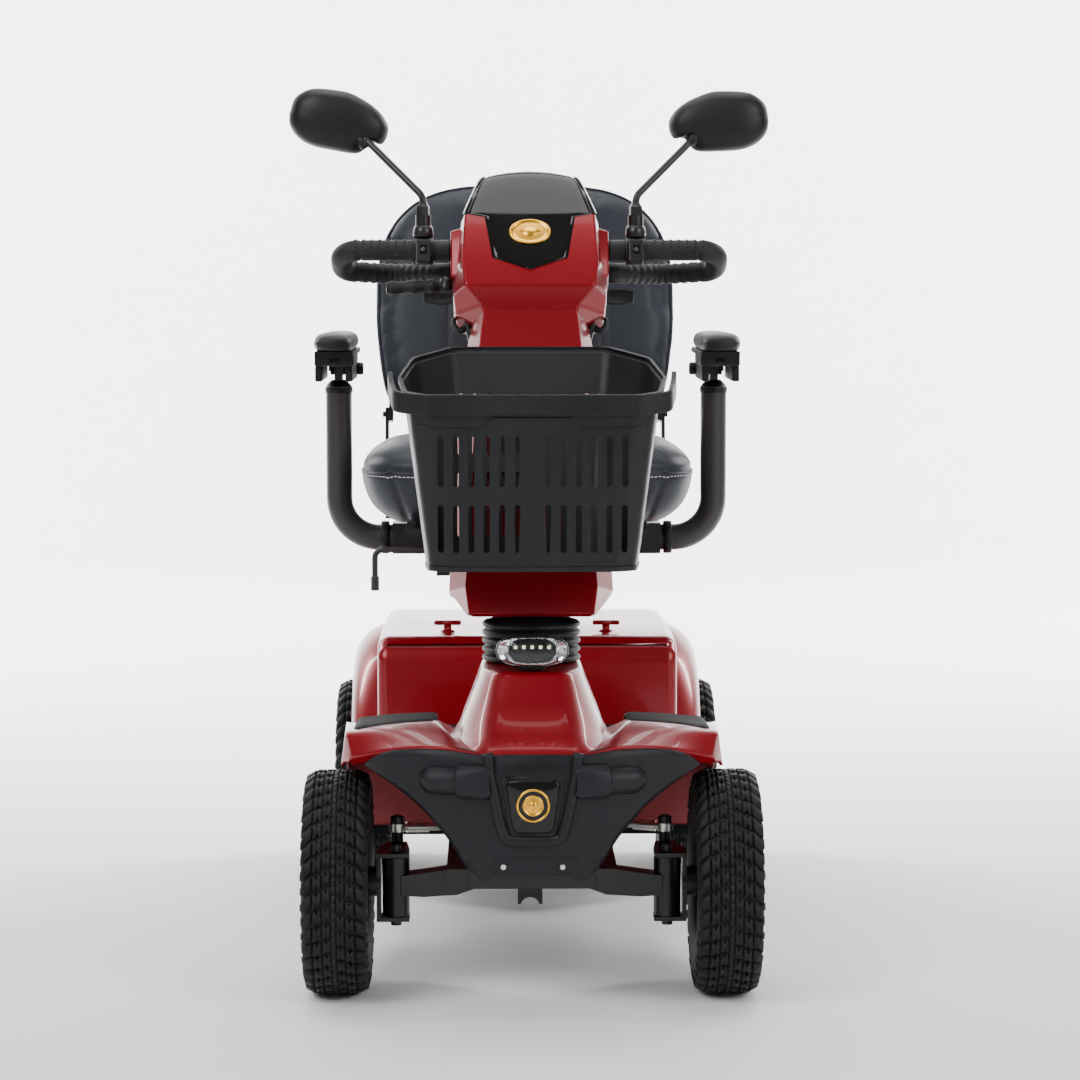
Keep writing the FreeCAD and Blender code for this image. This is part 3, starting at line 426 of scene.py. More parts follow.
def rubber(name, color, roughness=0.72):
    """Tyre and boot rubber with dust in the low places."""
    m = shader(name, color, roughness, Specular_IOR_Level=0.28)
    dust = texture(m, "Noise", 22, Detail=6, Roughness=0.65)["Fac"]
    vary(m, dust, scaled(color, 0.75), scaled(color, 1.5, 0.004), 0.35, 0.75)
    relief(m, texture(m, "Noise", 900, Detail=3)["Fac"], 0.2, 0.0004)
    return m


def metal(name, color, roughness, grain=(40, 40, 1200)):
    """Bare or plated metal with directional brushing."""
    m = shader(name, color, roughness, 1.0)
    brushed = texture(m, "Noise", 5, Detail=3)["Fac"]
    stretch = m.node_tree.nodes.new("ShaderNodeMapping")
    stretch.inputs["Scale"].default_value = grain
    m.node_tree.links.new(m.node_tree.nodes["Texture Coordinate"].outputs["Object"], stretch.inputs["Vector"])
    m.node_tree.links.new(stretch.outputs["Vector"], brushed.node.inputs["Vector"])
    vary_roughness(m, brushed, roughness * 0.7, roughness * 1.35)
    relief(m, brushed, 0.06, 0.0002)
    return m


def powder(name, color, roughness=0.42):
    """Powder coat over steel: faint orange peel and metallic fleck."""
    m = shader(name, color, roughness, 0.1, Coat_Weight=0.15, Coat_Roughness=0.25, Specular_IOR_Level=0.35)
    vary(m, texture(m, "Voronoi", 1100)["Color"], scaled(color, 0.7), scaled(color, 1.6))
    relief(m, texture(m, "Noise", 480, Detail=2)["Fac"], 0.14, 0.0004)
    return m


def clear_lens():
    m = shader("lamp_glass", (0.97, 0.98, 1.0), 0.03, Transmission_Weight=1.0, IOR=1.3)
    relief(m, texture(m, "Noise", 60)["Fac"], 0.05, 0.0003)
    return m


def polished(name, color, roughness=0.08):
    """High-gloss panel with a trace of handling haze."""
    m = shader(name, color, roughness, Coat_Weight=0.15, Coat_Roughness=0.03, Specular_IOR_Level=0.25)
    vary_roughness(m, texture(m, "Noise", 7, Detail=5)["Fac"], roughness, roughness * 2.2, 0.4, 0.8)
    return m


def plated(name, color, roughness=0.18):
    """Bright metal trim with slight tonal drift."""
    m = shader(name, color, roughness, 1.0)
    vary(m, texture(m, "Noise", 45, Detail=3)["Fac"], scaled(color, 0.82), color, 0.3, 0.7)
    return m


def glowing():
    m = shader("led_chip", (1.0, 0.9, 0.6), 0.3, Emission_Strength=1.2, Emission_Color=(1.0, 0.84, 0.5, 1))
    vary(m, texture(m, "Noise", 900)["Fac"], (0.9, 0.75, 0.4), (1, 0.95, 0.8))
    return m


RED = red_paint()
DARK = moulded("dark_grained_plastic", (0.0045, 0.0052, 0.0075), 0.46)
BASKET = moulded("basket_plastic", (0.006, 0.0065, 0.008), 0.5, 1100, 0.22)
MIRROR_SHELL = moulded("mirror_shell_plastic", (0.0055, 0.0055, 0.006), 0.46)
GLOSS = polished("gloss_black", (0.004, 0.004, 0.0036))
VINYL = vinyl("slate_vinyl", (0.008, 0.0105, 0.018))
VINYL_INSET = vinyl("inset_vinyl", (0.004, 0.005, 0.009), 0.5)
PAD_SKIN = vinyl("armrest_skin", (0.006, 0.006, 0.007), 0.5)
TYRE = rubber("tyre_rubber", (0.0045, 0.005, 0.0055), 0.66)
BOOT = rubber("bellows_rubber", (0.008, 0.008, 0.009), 0.5)
GRIP = rubber("grip_rubber", (0.010, 0.010, 0.011), 0.55)
MAT = rubber("mat_rubber", (0.010, 0.010, 0.011), 0.7)
CHASSIS = powder("chassis_black", (0.008, 0.008, 0.009), 0.35)
ARM_PAINT = powder("arm_graphite", (0.030, 0.027, 0.031), 0.4)
RIM_PAINT = powder("rim_black", (0.012, 0.012, 0.013), 0.32)
ZINC = metal("zinc_plate", (0.62, 0.61, 0.58), 0.3)
CAST = metal("cast_aluminium", (0.5, 0.5, 0.51), 0.45, (300, 300, 300))
CHROME = plated("chrome_trim", (0.8, 0.8, 0.82), 0.1)
GOLD = plated("gold_badge", (0.90, 0.46, 0.05), 0.28)
THREAD = vinyl("stitching_thread", (0.55, 0.56, 0.58), 0.7)
LENS = clear_lens()
RED_LENS = polished("tail_lens", (0.16, 0.001, 0.002), 0.12)
LED = glowing()
RED_LEVER = moulded("lever_red", (0.5, 0.02, 0.02), 0.4)
MIRROR_GLASS = plated("mirror_silver", (0.86, 0.88, 0.9), 0.02)

PAINTS = {
    "tyre": TYRE, "wheel_paint": RIM_PAINT, "chassis_paint": CHASSIS, "zinc_steel": ZINC, "aluminium": CAST,
    "red_shell": RED, "dark_plastic": DARK, "black_rubber": BOOT, "mat_rubber": MAT, "gloss_black": GLOSS,
    "chrome": CHROME, "clear_lens": LENS, "lamp_chip": LED, "red_lens": RED_LENS, "arm_paint": ARM_PAINT,
    "red_lever": RED_LEVER, "seat_vinyl": VINYL, "pad_skin": PAD_SKIN,
}
# Which of the record's slots each material stands for; stitches have none.
SLOTS = {paint.name: slot for slot, paint in PAINTS.items()}
SLOTS.update({BASKET.name: "dark_plastic", MIRROR_SHELL.name: "dark_plastic", GRIP.name: "black_rubber",
              GOLD.name: "gold", MIRROR_GLASS.name: "mirror_glass", VINYL_INSET.name: "seat_vinyl"})


# ---- wheels ---------------------------------------------------------------------------------------
TREAD_R = 165.0


def tyre_carcass(name, centre):
    half = [(33, 80), (37, 79), (43, 85), (47, 100), (48.6, 120), (47.6, 138), (43.5, 151), (36, 157.5),
            (22, 160.5), (0, 161.5)]
    profile = [(-a, r) for a, r in half] + half[-2::-1]
    return subdivide(turned(name, centre, (1, 0, 0), profile, TYRE, 72), 1)


def tread_point(centre, across, radius, angle):
    return Vector(centre) + mm(across, radius * math.cos(angle), radius * math.sin(angle))


def tread_block(points, faces, centre, corners, low, high):
    """One rubber block: corners are (across, angle) pairs, raised from low to high and tapered."""
    n, start = len(corners), len(points)
    mid_x = sum(c[0] for c in corners) / n
    mid_a = sum(c[1] for c in corners) / n
    for shrink, level in ((1.0, low), (0.9, high)):
        for x, a in corners:
            x2, a2 = mid_x + (x - mid_x) * shrink, mid_a + (a - mid_a) * shrink
            fall = max(0.0, abs(x2) - 26)
            points.append(tread_point(centre, x2, level - fall * fall * 0.021, a2))
    faces.append(tuple(start + n + i for i in range(n)))
    faces += [(start + i, start + (i + 1) % n, start + n + (i + 1) % n, start + n + i) for i in range(n)]


def tyre_tread(name, centre):
    """Centre rib, two rows of notched blocks each side of it, and slanted shoulder lugs."""
    points, faces = [], []
    pitches = 40
    step = 2 * PI / pitches
    for k in range(pitches):
        for side in (-1, 1):
            a = k * step + (step * 0.5 if side > 0 else 0)
            for x0, x1, slant, share in ((4.6, 15.6, 0.10, 0.8), (17.4, 30, 0.2, 0.82)):
                lean = slant * step * 2
                notch = (x0 + x1) / 2
                low, high = a + lean, a + lean + step * share
                corners = [(x0, low), (notch - 1.5, low), (notch - 1.5, low + step * 0.2),
                           (notch + 1.5, low + step * 0.2), (notch + 1.5, low), (x1, low + lean * 0.4),
                           (x1, high + lean * 0.4), (notch + 1, high), (notch + 1, high - step * 0.14),
                           (notch - 2, high - step * 0.14), (notch - 2, high), (x0, high)]
                tread_block(points, faces, centre, [(side * x, t) for x, t in corners], 159.5, TREAD_R)
            corners = ((31.6, 0.5), (45.6, 0.9), (45.6, 1.7), (31.6, 1.3))
            shoulder = [(side * x, a + step * t) for x, t in corners]
            tread_block(points, faces, centre, shoulder, 158.5, TREAD_R - 0.5)
    for k in range(pitches * 2):
        a = k * step / 2
        rib = [(-3.2, a), (3.2, a), (3.2, a + step * 0.51), (-3.2, a + step * 0.51)]
        tread_block(points, faces, centre, rib, 160.0, TREAD_R - 0.6)
    return mesh_object(name, points, faces, TYRE)


def side_lugs(name, centre):
    """Low slanted bars that run down both sidewalls from the shoulder."""
    points, faces = [], []
    count = 40
    for k in range(count):
        a = 2 * PI * (k + 0.3) / count
        for side in (-1, 1):
            start = len(points)
            for x, r, lean in ((44.4, 154.5, 0.0), (47.4, 148, 0.012), (48.8, 134 if k % 2 else 142, 0.03)):
                for edge in (-0.036, 0.036):
                    points.append(tread_point(centre, side * x, r, a + lean + edge))
                    points.append(tread_point(centre, side * (x - 4), r - 2, a + lean + edge * 1.1))
            for b in (start, start + 4):
                faces += [(b, b + 2, b + 6, b + 4), (b, b + 4, b + 5, b + 1), (b + 2, b + 3, b + 7, b + 6)]
            faces += [(start + 8, start + 10, start + 11, start + 9),
                      (start, start + 1, start + 3, start + 2)]
    return mesh_object(name, points, faces, TYRE)


def make_wheels():
    cap = [(30, 0.1), (30, 26), (34, 26), (41, 22), (44, 15), (44.5, 0.1)]
    lip = [(29, 76), (34, 77), (36, 81), (34, 85), (30, 84)]
    nut = [(38, 0.1), (38, 4.2), (45.5, 4.2), (46.5, 3), (46.5, 0.1)]
    for wheel in ("front_left", "front_right", "rear_left", "rear_right"):
        centre = Vector(JOINTS[f"wheel_{wheel}_spin"]["pos_m"])
        out = (1 if wheel.endswith("left") else -1, 0, 0)
        body = f"wheel_{wheel}"
        settle(tyre_carcass(f"tyre_{wheel}_carcass", centre), body, [f"tyre_{wheel}"])
        settle(tyre_tread(f"tyre_{wheel}_tread", centre), body)
        settle(side_lugs(f"tyre_{wheel}_side_lugs", centre), body)
        settle(turned(f"hub_cap_{wheel}", centre, out, cap, RIM_PAINT), body)
        for face, label in ((-1, "in"), (1, "out")):
            settle(turned(f"rim_lip_{wheel}_{label}", centre, (face, 0, 0), lip, RIM_PAINT), body)
        for k in range(5):
            a = 2 * PI * (k + 0.5) / 5
            spot = centre + mm(0, 16 * math.cos(a), 16 * math.sin(a))
            settle(turned(f"hub_bolt_{wheel}_{k + 1}", spot, out, nut, ZINC, 6), body)


# ---- front shell ----------------------------------------------------------------------------------
def hood_rows():
    """Control rows of the left shoulder, front lip to deck; columns run from the middle to the skirt."""
    lip = [(30, -705, 379), (88, -703, 384), (122, -695, 391), (180, -671, 387), (228, -637, 374),
           (260, -606, 362), (266, -598, 354)]
    tucked = [(x, y + 10, z - 13) for x, y, z in lip[:-1]] + [(262, -590, 350)]
    slope = [(30, -672, 374), (84, -668, 380), (118, -640, 399), (180, -616, 403), (236, -600, 398),
             (266, -590, 392), (273, -584, 350)]
    ridge = [(30, -600, 374), (92, -610, 380), (145, -556, 411), (193, -562, 408), (245, -574, 402),
             (271, -580, 396), (278, -574, 344)]
    crest = [(30, -440, 372), (92, -440, 376), (145, -440, 401), (193, -440, 400), (250, -440, 397),
             (276, -440, 392), (278, -440, 342)]
    toe = [(30, -404, 352), (92, -404, 352), (131, -404, 366), (193, -404, 366), (250, -404, 364),
           (276, -404, 358), (278, -408, 330)]
    foot = [(x, -285, 212) for x in (30, 97, 131, 193, 250, 275)] + [(277, -289, 206)]
    end = [(x, -276, 206) for x in (30, 97, 131, 193, 250, 275, 277)]
    return [[mm(*p) for p in row] for row in (tucked, lip, slope, ridge, crest, toe, foot, end)]


def make_hood():
    rows = hood_rows()
    full = [[Vector((-p.x, p.y, p.z)) for p in reversed(row)] + row for row in rows]
    hood = grid("front_shroud_shell", full, RED)

    def on_lip(p):
        return any((Vector((abs(p.x), p.y, p.z)) - q).length < 1e-5 for q in rows[1])

    def sharp(a, b):
        near, far = sorted((abs(a.x), abs(b.x)))
        outer = far - near < 0.014 and near > 0.258
        inner = near > 0.117 and far < 0.146 and abs(a.y - b.y) > 0.05
        return outer or inner or (on_lip(a) and on_lip(b))
    crease(hood, sharp, 0.75)
    settle(thicken(subdivide(hood, 3), 0.004), "chassis", ["front_shroud"])


def make_toe_mats():
    """Cross-ribbed pads on the shoulders and the slope behind them, and the deck's ribbed mat."""
    profile = [(-553, 405), (-545, 409.5), (-445, 404), (-436, 402), (-402, 371), (-292, 227)]
    for side, label in SIDES:
        rows = []
        for k in range(66):
            y = -553 + 4 * k
            z = interpolate(y, profile) + (0.9 if k % 2 else -0.4)
            front = max(0.0, (y + 500) / -53)
            rows.append([mm(side * x, y - shift * front, z - drop) for x, shift, drop in
                         ((139, -3, 4), (146, 0, 0), (196, 8, 2), (252, 20, 7), (259, 20, 11))])
        pad = thicken(grid(f"toe_mat_{label}", rows, MAT), 0.003)
        settle(pad, "chassis", ["floor_mats"] if side > 0 else ())
    settle(box("deck_mat", mm(-244, -270, 205), mm(244, 92, 209.5), MAT), "chassis")
    points, faces = [], []
    for k in range(46):
        y = -262 + k * 7.7
        prism_into(points, faces, *block_ends((-236, y, 209), (236, y + 3.4, 211.5), mm))
    settle(bevel(mesh_object("deck_mat_ribs", points, faces, MAT), 0.0006, 1), "chassis")


def rounded_ring(z, f, b, front, back, corner=0.3, bow=4):
    """A rounded trapezoid in plan, half as wide as f in front and b behind, with a bowed front face."""
    mid = front + (back - front) * 0.34
    half = [(0, front - bow), (f * 0.5, front - bow * 0.8), (f * (1 - corner * 0.45), front),
            (f + (b - f) * 0.35, front + (mid - front) * 0.42), (b, mid), (b, (mid + back) / 2),
            (b * 0.98, back - 8), (b * 0.86, back)]
    ring = half + [(0, back)] + [(-x, y) for x, y in reversed(half[1:])]
    return [mm(x, y, z) for x, y in ring]


def make_cone():
    """Red column cowl: concave flare at the foot and a flat shoulder round the bellows."""
    table = [(366, 100, 124, -704, -404), (384, 90, 114, -694, -404), (391, 83, 109, -686, -404),
             (400, 78, 105, -675, -404), (414, 73.5, 101, -657, -404), (445, 66.5, 88, -629, -404),
             (474, 61, 77, -608, -404), (483, 58, 74, -602, -404), (486.5, 53, 69, -595, -406),
             (487, 40, 50, -575, -415)]
    cone = loft("column_cowl_shell", [rounded_ring(*row) for row in table], RED, cap_start=False)
    settle(subdivide(cone, 2), "chassis", ["column_cowl"])


# ---- bumper ---------------------------------------------------------------------------------------
def bumper_edges(x):
    """Top and bottom height of the bumper and its depth at a distance from the middle."""
    x = abs(x)
    top = [(0, 381), (68, 381), (90, 387), (108, 390), (165, 389), (205, 382), (228, 369), (241, 355)]
    low = [(0, 202), (52, 202), (58, 196), (70, 192), (78, 198), (90, 209), (105, 231), (119, 256),
           (136, 276), (160, 302), (190, 325), (220, 341), (241, 352)]
    deep = [(0, -713), (62, -711), (110, -700), (165, -681), (205, -657), (241, -626)]
    return [interpolate(x, table) for table in (top, low, deep)]


def tuck(z):
    """How far the bumper's lower part falls back at a height."""
    return 16 * max(0.0, (300 - z) / 110) ** 2


def bumper_face(x, z, out):
    """The point on the bumper's skin in front of (x, z), moved out of the surface by some millimetres."""
    return mm(x, bumper_edges(x)[2] + tuck(z) - out, z)


def make_bumper():
    half = [241, 236, 228, 215, 200, 182, 160, 148, 137, 127, 117, 107, 96, 86, 78, 74, 70, 64, 58, 52, 40,
            20]
    columns = [-x for x in half] + [0] + half[::-1]
    rows = []
    for share in (0, 0.02, 0.08, 0.2, 0.36, 0.52, 0.68, 0.82, 0.93, 0.98, 1):
        roll = 9 * (max(0, 0.1 - share) / 0.1) ** 2 + 8 * (max(0, share - 0.9) / 0.1) ** 2
        row = []
        for x in columns:
            top, low, deep = bumper_edges(x)
            z = top + (low - top) * share
            ends = 5 * (max(0, abs(x) - 215) / 26) ** 2
            row.append(mm(x, deep + roll + tuck(z) + ends, z))
        rows.append(row)
    skin = thicken(subdivide(grid("front_bumper_skin", rows, DARK), 2), 0.006)
    settle(skin, "chassis", ["front_bumper"])
    ridge = [(64, 384), (61, 352), (55, 323), (48, 290), (42, 270), (33, 260)]
    ridge = [(-x, z) for x, z in ridge] + [(0, 258)] + ridge[::-1]
    path = smooth_path([bumper_face(x, z, 1.0) for x, z in ridge], 60)
    add_bead("front_bumper_ridge", path, tube(8, 6.5), 16)
    corners = [bumper_face(x, z, -1.0) for x, z in ((-44, 349), (44, 349), (31, 266), (-31, 266))]
    frame_path = [a.lerp(b, t) for a, b in zip(corners, corners[1:] + corners[:1]) for t in (0.06, 0.5, 0.94)]
    add_bead("badge_panel_surround", frame_path + frame_path[:1], tube(3.0, 2.4), 10)
    lip = [bumper_face(x, 234.6 - 14.6 * (max(0, abs(x) - 66) / 28) ** 2, -1.2) for x in range(-94, 95, 4)]
    add_bead("front_bumper_lip_seam", lip, tube(1.6), 8)
    for side, label in SIDES:
        make_pod(side, label)
        screw_head(f"bumper_screw_{label}", bumper_face(side * 42, 220, 0), 4.2)


def add_bead(name, path, section, steps):
    """A raised bead on the bumper's face."""
    settle(sweep(name, path, section, DARK, (0, -1, 0), steps), "chassis")


def make_pod(side, label):
    """The moulded round pod that stands where a fog lamp would, stepped up towards the middle."""
    start, end = bumper_face(side * 148, 343, -4), bumper_face(side * 66, 343, -4)
    length = (end - start).length / MM
    profile = [(-13, 0.5), (-12, 7), (-9, 13), (-3, 18), (4, 20.4), (12, 21), (43, 21), (44.4, 21.6),
               (45, 25), (46.4, 25.6), (74, 26), (length + 4, 25.8), (length + 10, 20)]
    pod = turned(f"bumper_pod_{label}", start, end - start, profile, DARK, 40)
    for v in pod.data.vertices:
        v.co.y = max(v.co.y, POD_FRONT_Y)
    settle(bevel(pod, 0.001, 2, 35), "chassis")


def screw_head(name, spot, radius):
    """A domed screw that faces the front."""
    profile = [(-2, radius), (0.8, radius), (1.8, radius * 0.75), (2.2, radius * 0.4), (1.2, radius * 0.3),
               (1.2, 0.05)]
    settle(turned(name, spot, (0, -1, 0), profile, ZINC, 20), "chassis")


def disc_badge(name, centre, up, out, radius_x, radius_y, body):
    """Plain generic gold badge: a rimmed oval with one raised lozenge; sizes are in millimetres."""
    def ring(share, lift, steps):
        return [centre + Vector((radius_x * MM * share * math.cos(a), 0, 0)) +
                up * (radius_y * MM * share * math.sin(a)) + out * (lift * MM) for a in angles(steps)]
    disc = ((0.0, 1.6), (0.7, 1.6), (0.84, 1.3), (0.86, 2.2), (0.97, 2.2), (1.0, 1.4), (1.0, 0.0))
    settle(grid(name, [ring(*row, 64) for row in disc], GOLD, closed=True), body)
    lozenge = ((0.5, 1.4), (0.46, 2.4), (0.01, 2.8))
    settle(grid(f"{name}_device", [ring(*row, 4) for row in lozenge], GOLD, closed=True), body)


def make_badge_panel():
    outline = [(-39, 345), (39, 345), (28, 270), (-28, 270)]
    rows = []
    for inset, out in ((1.0, -1.0), (1.0, 1.0), (0.94, 1.6), (0.5, 1.8), (0.01, 1.8)):
        ring = []
        for a, b in zip(outline, outline[1:] + outline[:1]):
            for t in (0.08, 0.3, 0.5, 0.7, 0.92):
                x, z = a[0] + (b[0] - a[0]) * t, a[1] + (b[1] - a[1]) * t
                ring.append(bumper_face(x * inset, 308 + (z - 308) * inset, out))
        rows.append(ring)
    settle(grid("badge_panel_gloss", rows, GLOSS, closed=True), "chassis", ["badge_panel"])
    centre = bumper_face(0, 310, 2.2)
    rim = [(0, 20.5), (1.6, 21), (1.6, 23.4), (0, 24)]
    settle(turned("front_badge_ring", centre, (0, -1, 0), rim, GOLD, 64), "chassis")
    disc_badge("front_badge", centre, Vector((0, 0, 1)), Vector((0, -1, 0)), 15, 15, "chassis")


# ---- lamp and bellows -----------------------------------------------------------------------------
def oval_loft(name, centre, rings, material):
    """A moulded oval; rings holds (half width, half height, depth towards the rear) in millimetres."""
    rows = [[centre + mm(x, depth, z) for x, z in superellipse(half, high, 2 / 2.6, 64)]
            for half, high, depth in rings]
    return grid(name, rows, material, closed=True)


def make_lamp():
    low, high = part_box("headlight_lens")
    centre = Vector((0, low.y, (low.z + high.z) / 2))
    lens = [(0.5, 0.3, -0.5), (26, 13, 0.2), (42, 19, 2.5), (48, 21, 6), (51, 22.5, 12), (51, 22.5, 15),
            (48.5, 20.5, 15), (46, 19, 8), (40, 17, 4.5), (26, 11, 2.4), (0.5, 0.3, 1.8)]
    settle(oval_loft("headlight_clear_lens", centre, lens, LENS), "chassis", ["headlight_lens"])
    shell = [(52, 23.2, 11), (52.6, 23.6, 14), (52.6, 23.6, 24), (46, 20, 30), (0.5, 0.3, 31)]
    settle(oval_loft("headlight_body", centre, shell, DARK), "chassis", ["headlight_housing"])
    bowl = [(50, 21.8, 12), (46, 19.5, 15), (36, 16.5, 20), (33, 15.5, 24)]
    settle(oval_loft("headlight_reflector", centre, bowl, CHROME), "chassis")
    settle(oval_loft("headlight_board", centre, [(35, 17, 21.5), (0.5, 0.3, 21.5)], GLOSS), "chassis")
    settle(box("headlight_foot", mm(-18, -590, 484), mm(18, -578, 500), DARK), "chassis")
    for k in range(5):
        spot = centre + mm(-24 + 12 * k, 20.5, 5)
        cup = [(0, 5.4), (-2.5, 5.2), (-4, 4.4)]
        settle(turned(f"led_cup_{k + 1}", spot, (0, 1, 0), cup, CHROME, 24), "chassis")
        chip = box(f"led_chip_{k + 1}", spot - mm(2.3, 1.6, 2.3), spot + mm(2.3, 0, 2.3), LED, 0.0003, 1)
        settle(chip, "chassis", ["headlight_leds"] if k == 0 else ())
    for side, label in SIDES:
        screw_head(f"headlight_screw_{label}", centre + mm(side * 42, 13.5, 0), 4.4)


def make_bellows():
    low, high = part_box("bellows")
    centre = Vector((0, (low.y + high.y) / 2, low.z))
    folds, crest, root = 5, 73.0, 60.0
    pitch = (high.z - low.z) / MM / folds
    profile = [(-1, 52), (-1, root)]
    for k in range(folds):
        for a in range(-75, 76, 25):
            t = math.radians(a)
            along = pitch * (k + 0.5 + 0.47 * math.sin(t))
            profile.append((along, root + (crest - root) * math.cos(t) ** 0.8))
    profile += [(pitch * folds + 4, root - 8), (pitch * folds + 12, 40), (pitch * folds + 26, 34)]
    boot = thicken(turned("bellows_boot", centre, (0, 0, 1), profile, BOOT, 64), 0.0025)
    apply_modifiers(boot)
    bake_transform(boot)
    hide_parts("bellows")


# ---- tiller ---------------------------------------------------------------------------------------
# Each row: height, half width of the face, of the flank, depth of the front, of the shoulder, of the back.
SHROUD = [(20, 84, 92, -62, -44, 78), (24, 92, 99, -68, -46, 84), (64, 97, 122, -73, -16, 86),
          (112, 93, 120, -73, -14, 86), (420, 79, 104, -62, -12, 76), (470, 74, 92, -64, -16, 72),
          (494, 71, 87, -68, -20, 70), (507, 71, 88, -70, -22, 70)]
HEAD = [(492, 70.5, 86, -67, -20, 69), (505, 72, 114, -71, -28, 74), (531, 98, 117, -85, -42, 78),
        (572, 103, 111, -80, -42, 80), (654, 99, 105, -61, -28, 78), (700, 84, 89, -45, -18, 64),
        (722, 74, 79, -34, -12, 52), (733, 64, 69, -24, -8, 42)]
FACE, FRONT, BACK = 1, 3, 5


def head_at(z, column):
    """The head's size in one column of its table at a height along the tiller."""
    return interpolate(z, [(row[0], row[column]) for row in HEAD])


def head_arch(z):
    """How far the middle of the head's front rises at a height."""
    return 9 * max(0, (z - 600) / 133) ** 1.5


def shell_ring(z, face, flank, front, shoulder, back, arch=0.0, level=0.0):
    """A ring of the tiller's faceted section; arch lifts the middle of the front, level makes it lie flat."""
    half = [(0, front, arch), (face * 0.5, front, arch * 0.78), (face, front, 0), (flank, shoulder, 0),
            (flank, back - 32, 0), (flank * 0.72, back, 0)]
    ring = half + [(0, back, arch * 0.6)] + [(-x, y, a) for x, y, a in reversed(half[1:])]
    return [on_tiller(x, y, z + a + (y - front) * TILLER_SLOPE * level) for x, y, a in ring]


def make_tiller_shells():
    rings = [shell_ring(*row, level=share) for row, share in zip(SHROUD, (1, 1, 0.4) + (0,) * 5)]
    shroud = thicken(loft("tiller_shroud_shell", rings, RED, cap_start=False, cap_end=False), 0.0035)
    settle(bevel(shroud, 0.0055, 4, 14), "tiller", ["tiller_shroud"])
    rings = [shell_ring(*row, arch=head_arch(row[0])) for row in HEAD]
    z, face, flank, front, shoulder, back = HEAD[-1]
    rings.append(shell_ring(z + 3, face * 0.8, flank * 0.8, front + 8, shoulder + 8, back - 9, 8))
    head = loft("head_shell_red", rings, RED, cap_start=False)
    settle(bevel(head, 0.0045, 4, 12), "tiller", ["head_shell"])
    corners = [(-24, 566), (-30, 600), (-26, 648), (12, 652), (62, 640), (66, 580), (40, 562)]
    for side, label in SIDES:
        ends = [[on_tiller(side * x, 18 + (y - 18) * inset, 608 + (z - 608) * inset) for y, z in corners]
                for x, inset in ((100, 1.0), (121, 0.9))]
        settle(bevel(prism(f"head_socket_{label}", *ends, RED), 0.0035, 4), "tiller")


def make_console_cover():
    """Black shield inlaid in the head's front: pointed foot, stepped shoulders and bright side chamfers."""
    outline = [(557, 0.8), (577, 57), (652, 69), (656, 100), (722, 76), (738, 62)]
    rows = []
    for z in (557, 561, 569, 577, 600, 630, 650, 655.5, 656, 660, 680, 700, 714, 722, 729, 734, 738):
        wide = interpolate(z, outline)
        over = max(0, z - 729)
        row = []
        for k in range(-8, 9):
            x = wide * k / 8
            y = head_at(z, FRONT) - 2.2 + over * 2.2 + (1.6 if abs(k) == 8 else 0)
            y += max(0, abs(x) - head_at(z, FACE)) * 1.2
            lift = head_arch(z) * (1 - (x / max(wide, 1)) ** 2)
            row.append(on_tiller(x, y, min(z, 734) + lift + 0.35 * over))
        rows.append(row)
    cover = thicken(grid("console_cover_shield", rows, GLOSS), 0.0022)
    settle(cover, "tiller", ["console_cover"])
    edge = [(656, 100), (722, 76.5), (738, 62)]
    for side, label in SIDES:
        path = [on_tiller(side * (interpolate(z, edge) + 0.8), head_at(z, FRONT) + 1.5, z)
                for z in (657, 670, 685, 700, 714, 724, 731)]
        strip = sweep(f"console_chamfer_{label}", smooth_path(path, 24), tube(1.5, 2.4), CHROME, steps=10)
        settle(strip, "tiller")
    up = (on_tiller(0, head_at(640, FRONT), 640) - on_tiller(0, head_at(604, FRONT), 604)).normalized()
    out = up.cross(Vector((1, 0, 0))).normalized()
    if out.y > 0:
        out = -out
    disc_badge("head_badge", on_tiller(0, head_at(622, FRONT) - 2.6, 622), up, out, 32, 22.5, "tiller")


def make_control_panel():
    """The rider's side: display, key switch, rocker switches and the dial's scale."""
    rows = []
    for z in (566, 570, 600, 630, 654, 676, 698, 716, 720):
        wide = interpolate(z, [(566, 62), (654, 66), (720, 50)])
        lifts = [1.6 if abs(k) == 8 or z in (566, 720) else 3.2 for k in range(-8, 9)]
        rows.append([on_tiller(wide * k / 8, head_at(z, BACK) + lifts[k + 8], z) for k in range(-8, 9)])
    settle(thicken(grid("control_panel_face", rows, DARK), 0.003), "tiller", ["control_panel"])
    settle(tiller_plate("throttle_bracket", (-16, 76, 579.7), (16, 126, 587.7), CHASSIS), "tiller")
    y = head_at(690, BACK) + 3.4
    for k in range(10):
        x = -33 + 6.8 * k
        bar = tiller_plate(f"battery_gauge_{k + 1}", (x, y - 0.4, 686), (x + 5, y + 1.0, 694),
                           LED if k < 7 else RED_LENS, 0.0003)
        settle(bar, "tiller")
    for x, z, label in ((-45, 606, "horn"), (45, 606, "light"), (-45, 640, "left_turn"),
                        (45, 640, "right_turn")):
        y = head_at(z, BACK) + 2.6
        key = tiller_plate(f"rocker_{label}", (x - 10, y - 1, z - 8), (x + 10, y + 4.5, z + 8), GLOSS, 0.002)
        settle(key, "tiller")
    barrel = [(-1, 10), (2, 10), (3, 8.5), (3, 5), (1.5, 4.6), (1.5, 0.1)]
    settle(turned("key_switch", on_tiller(0, 80.4, 590), TILLER_BACK, barrel, CHROME, 32), "tiller")
    for k in range(11):
        a = math.radians(-30 + 24 * k)
        spot = on_tiller(25 * math.cos(a), 81.0, 636 + 25 * math.sin(a))
        mark = [(0, 1.6), (0.7, 1.4), (0.8, 0.1)]
        settle(turned(f"speed_mark_{k + 1}", spot, TILLER_BACK, mark, THREAD, 12), "tiller")
    make_speed_dial()


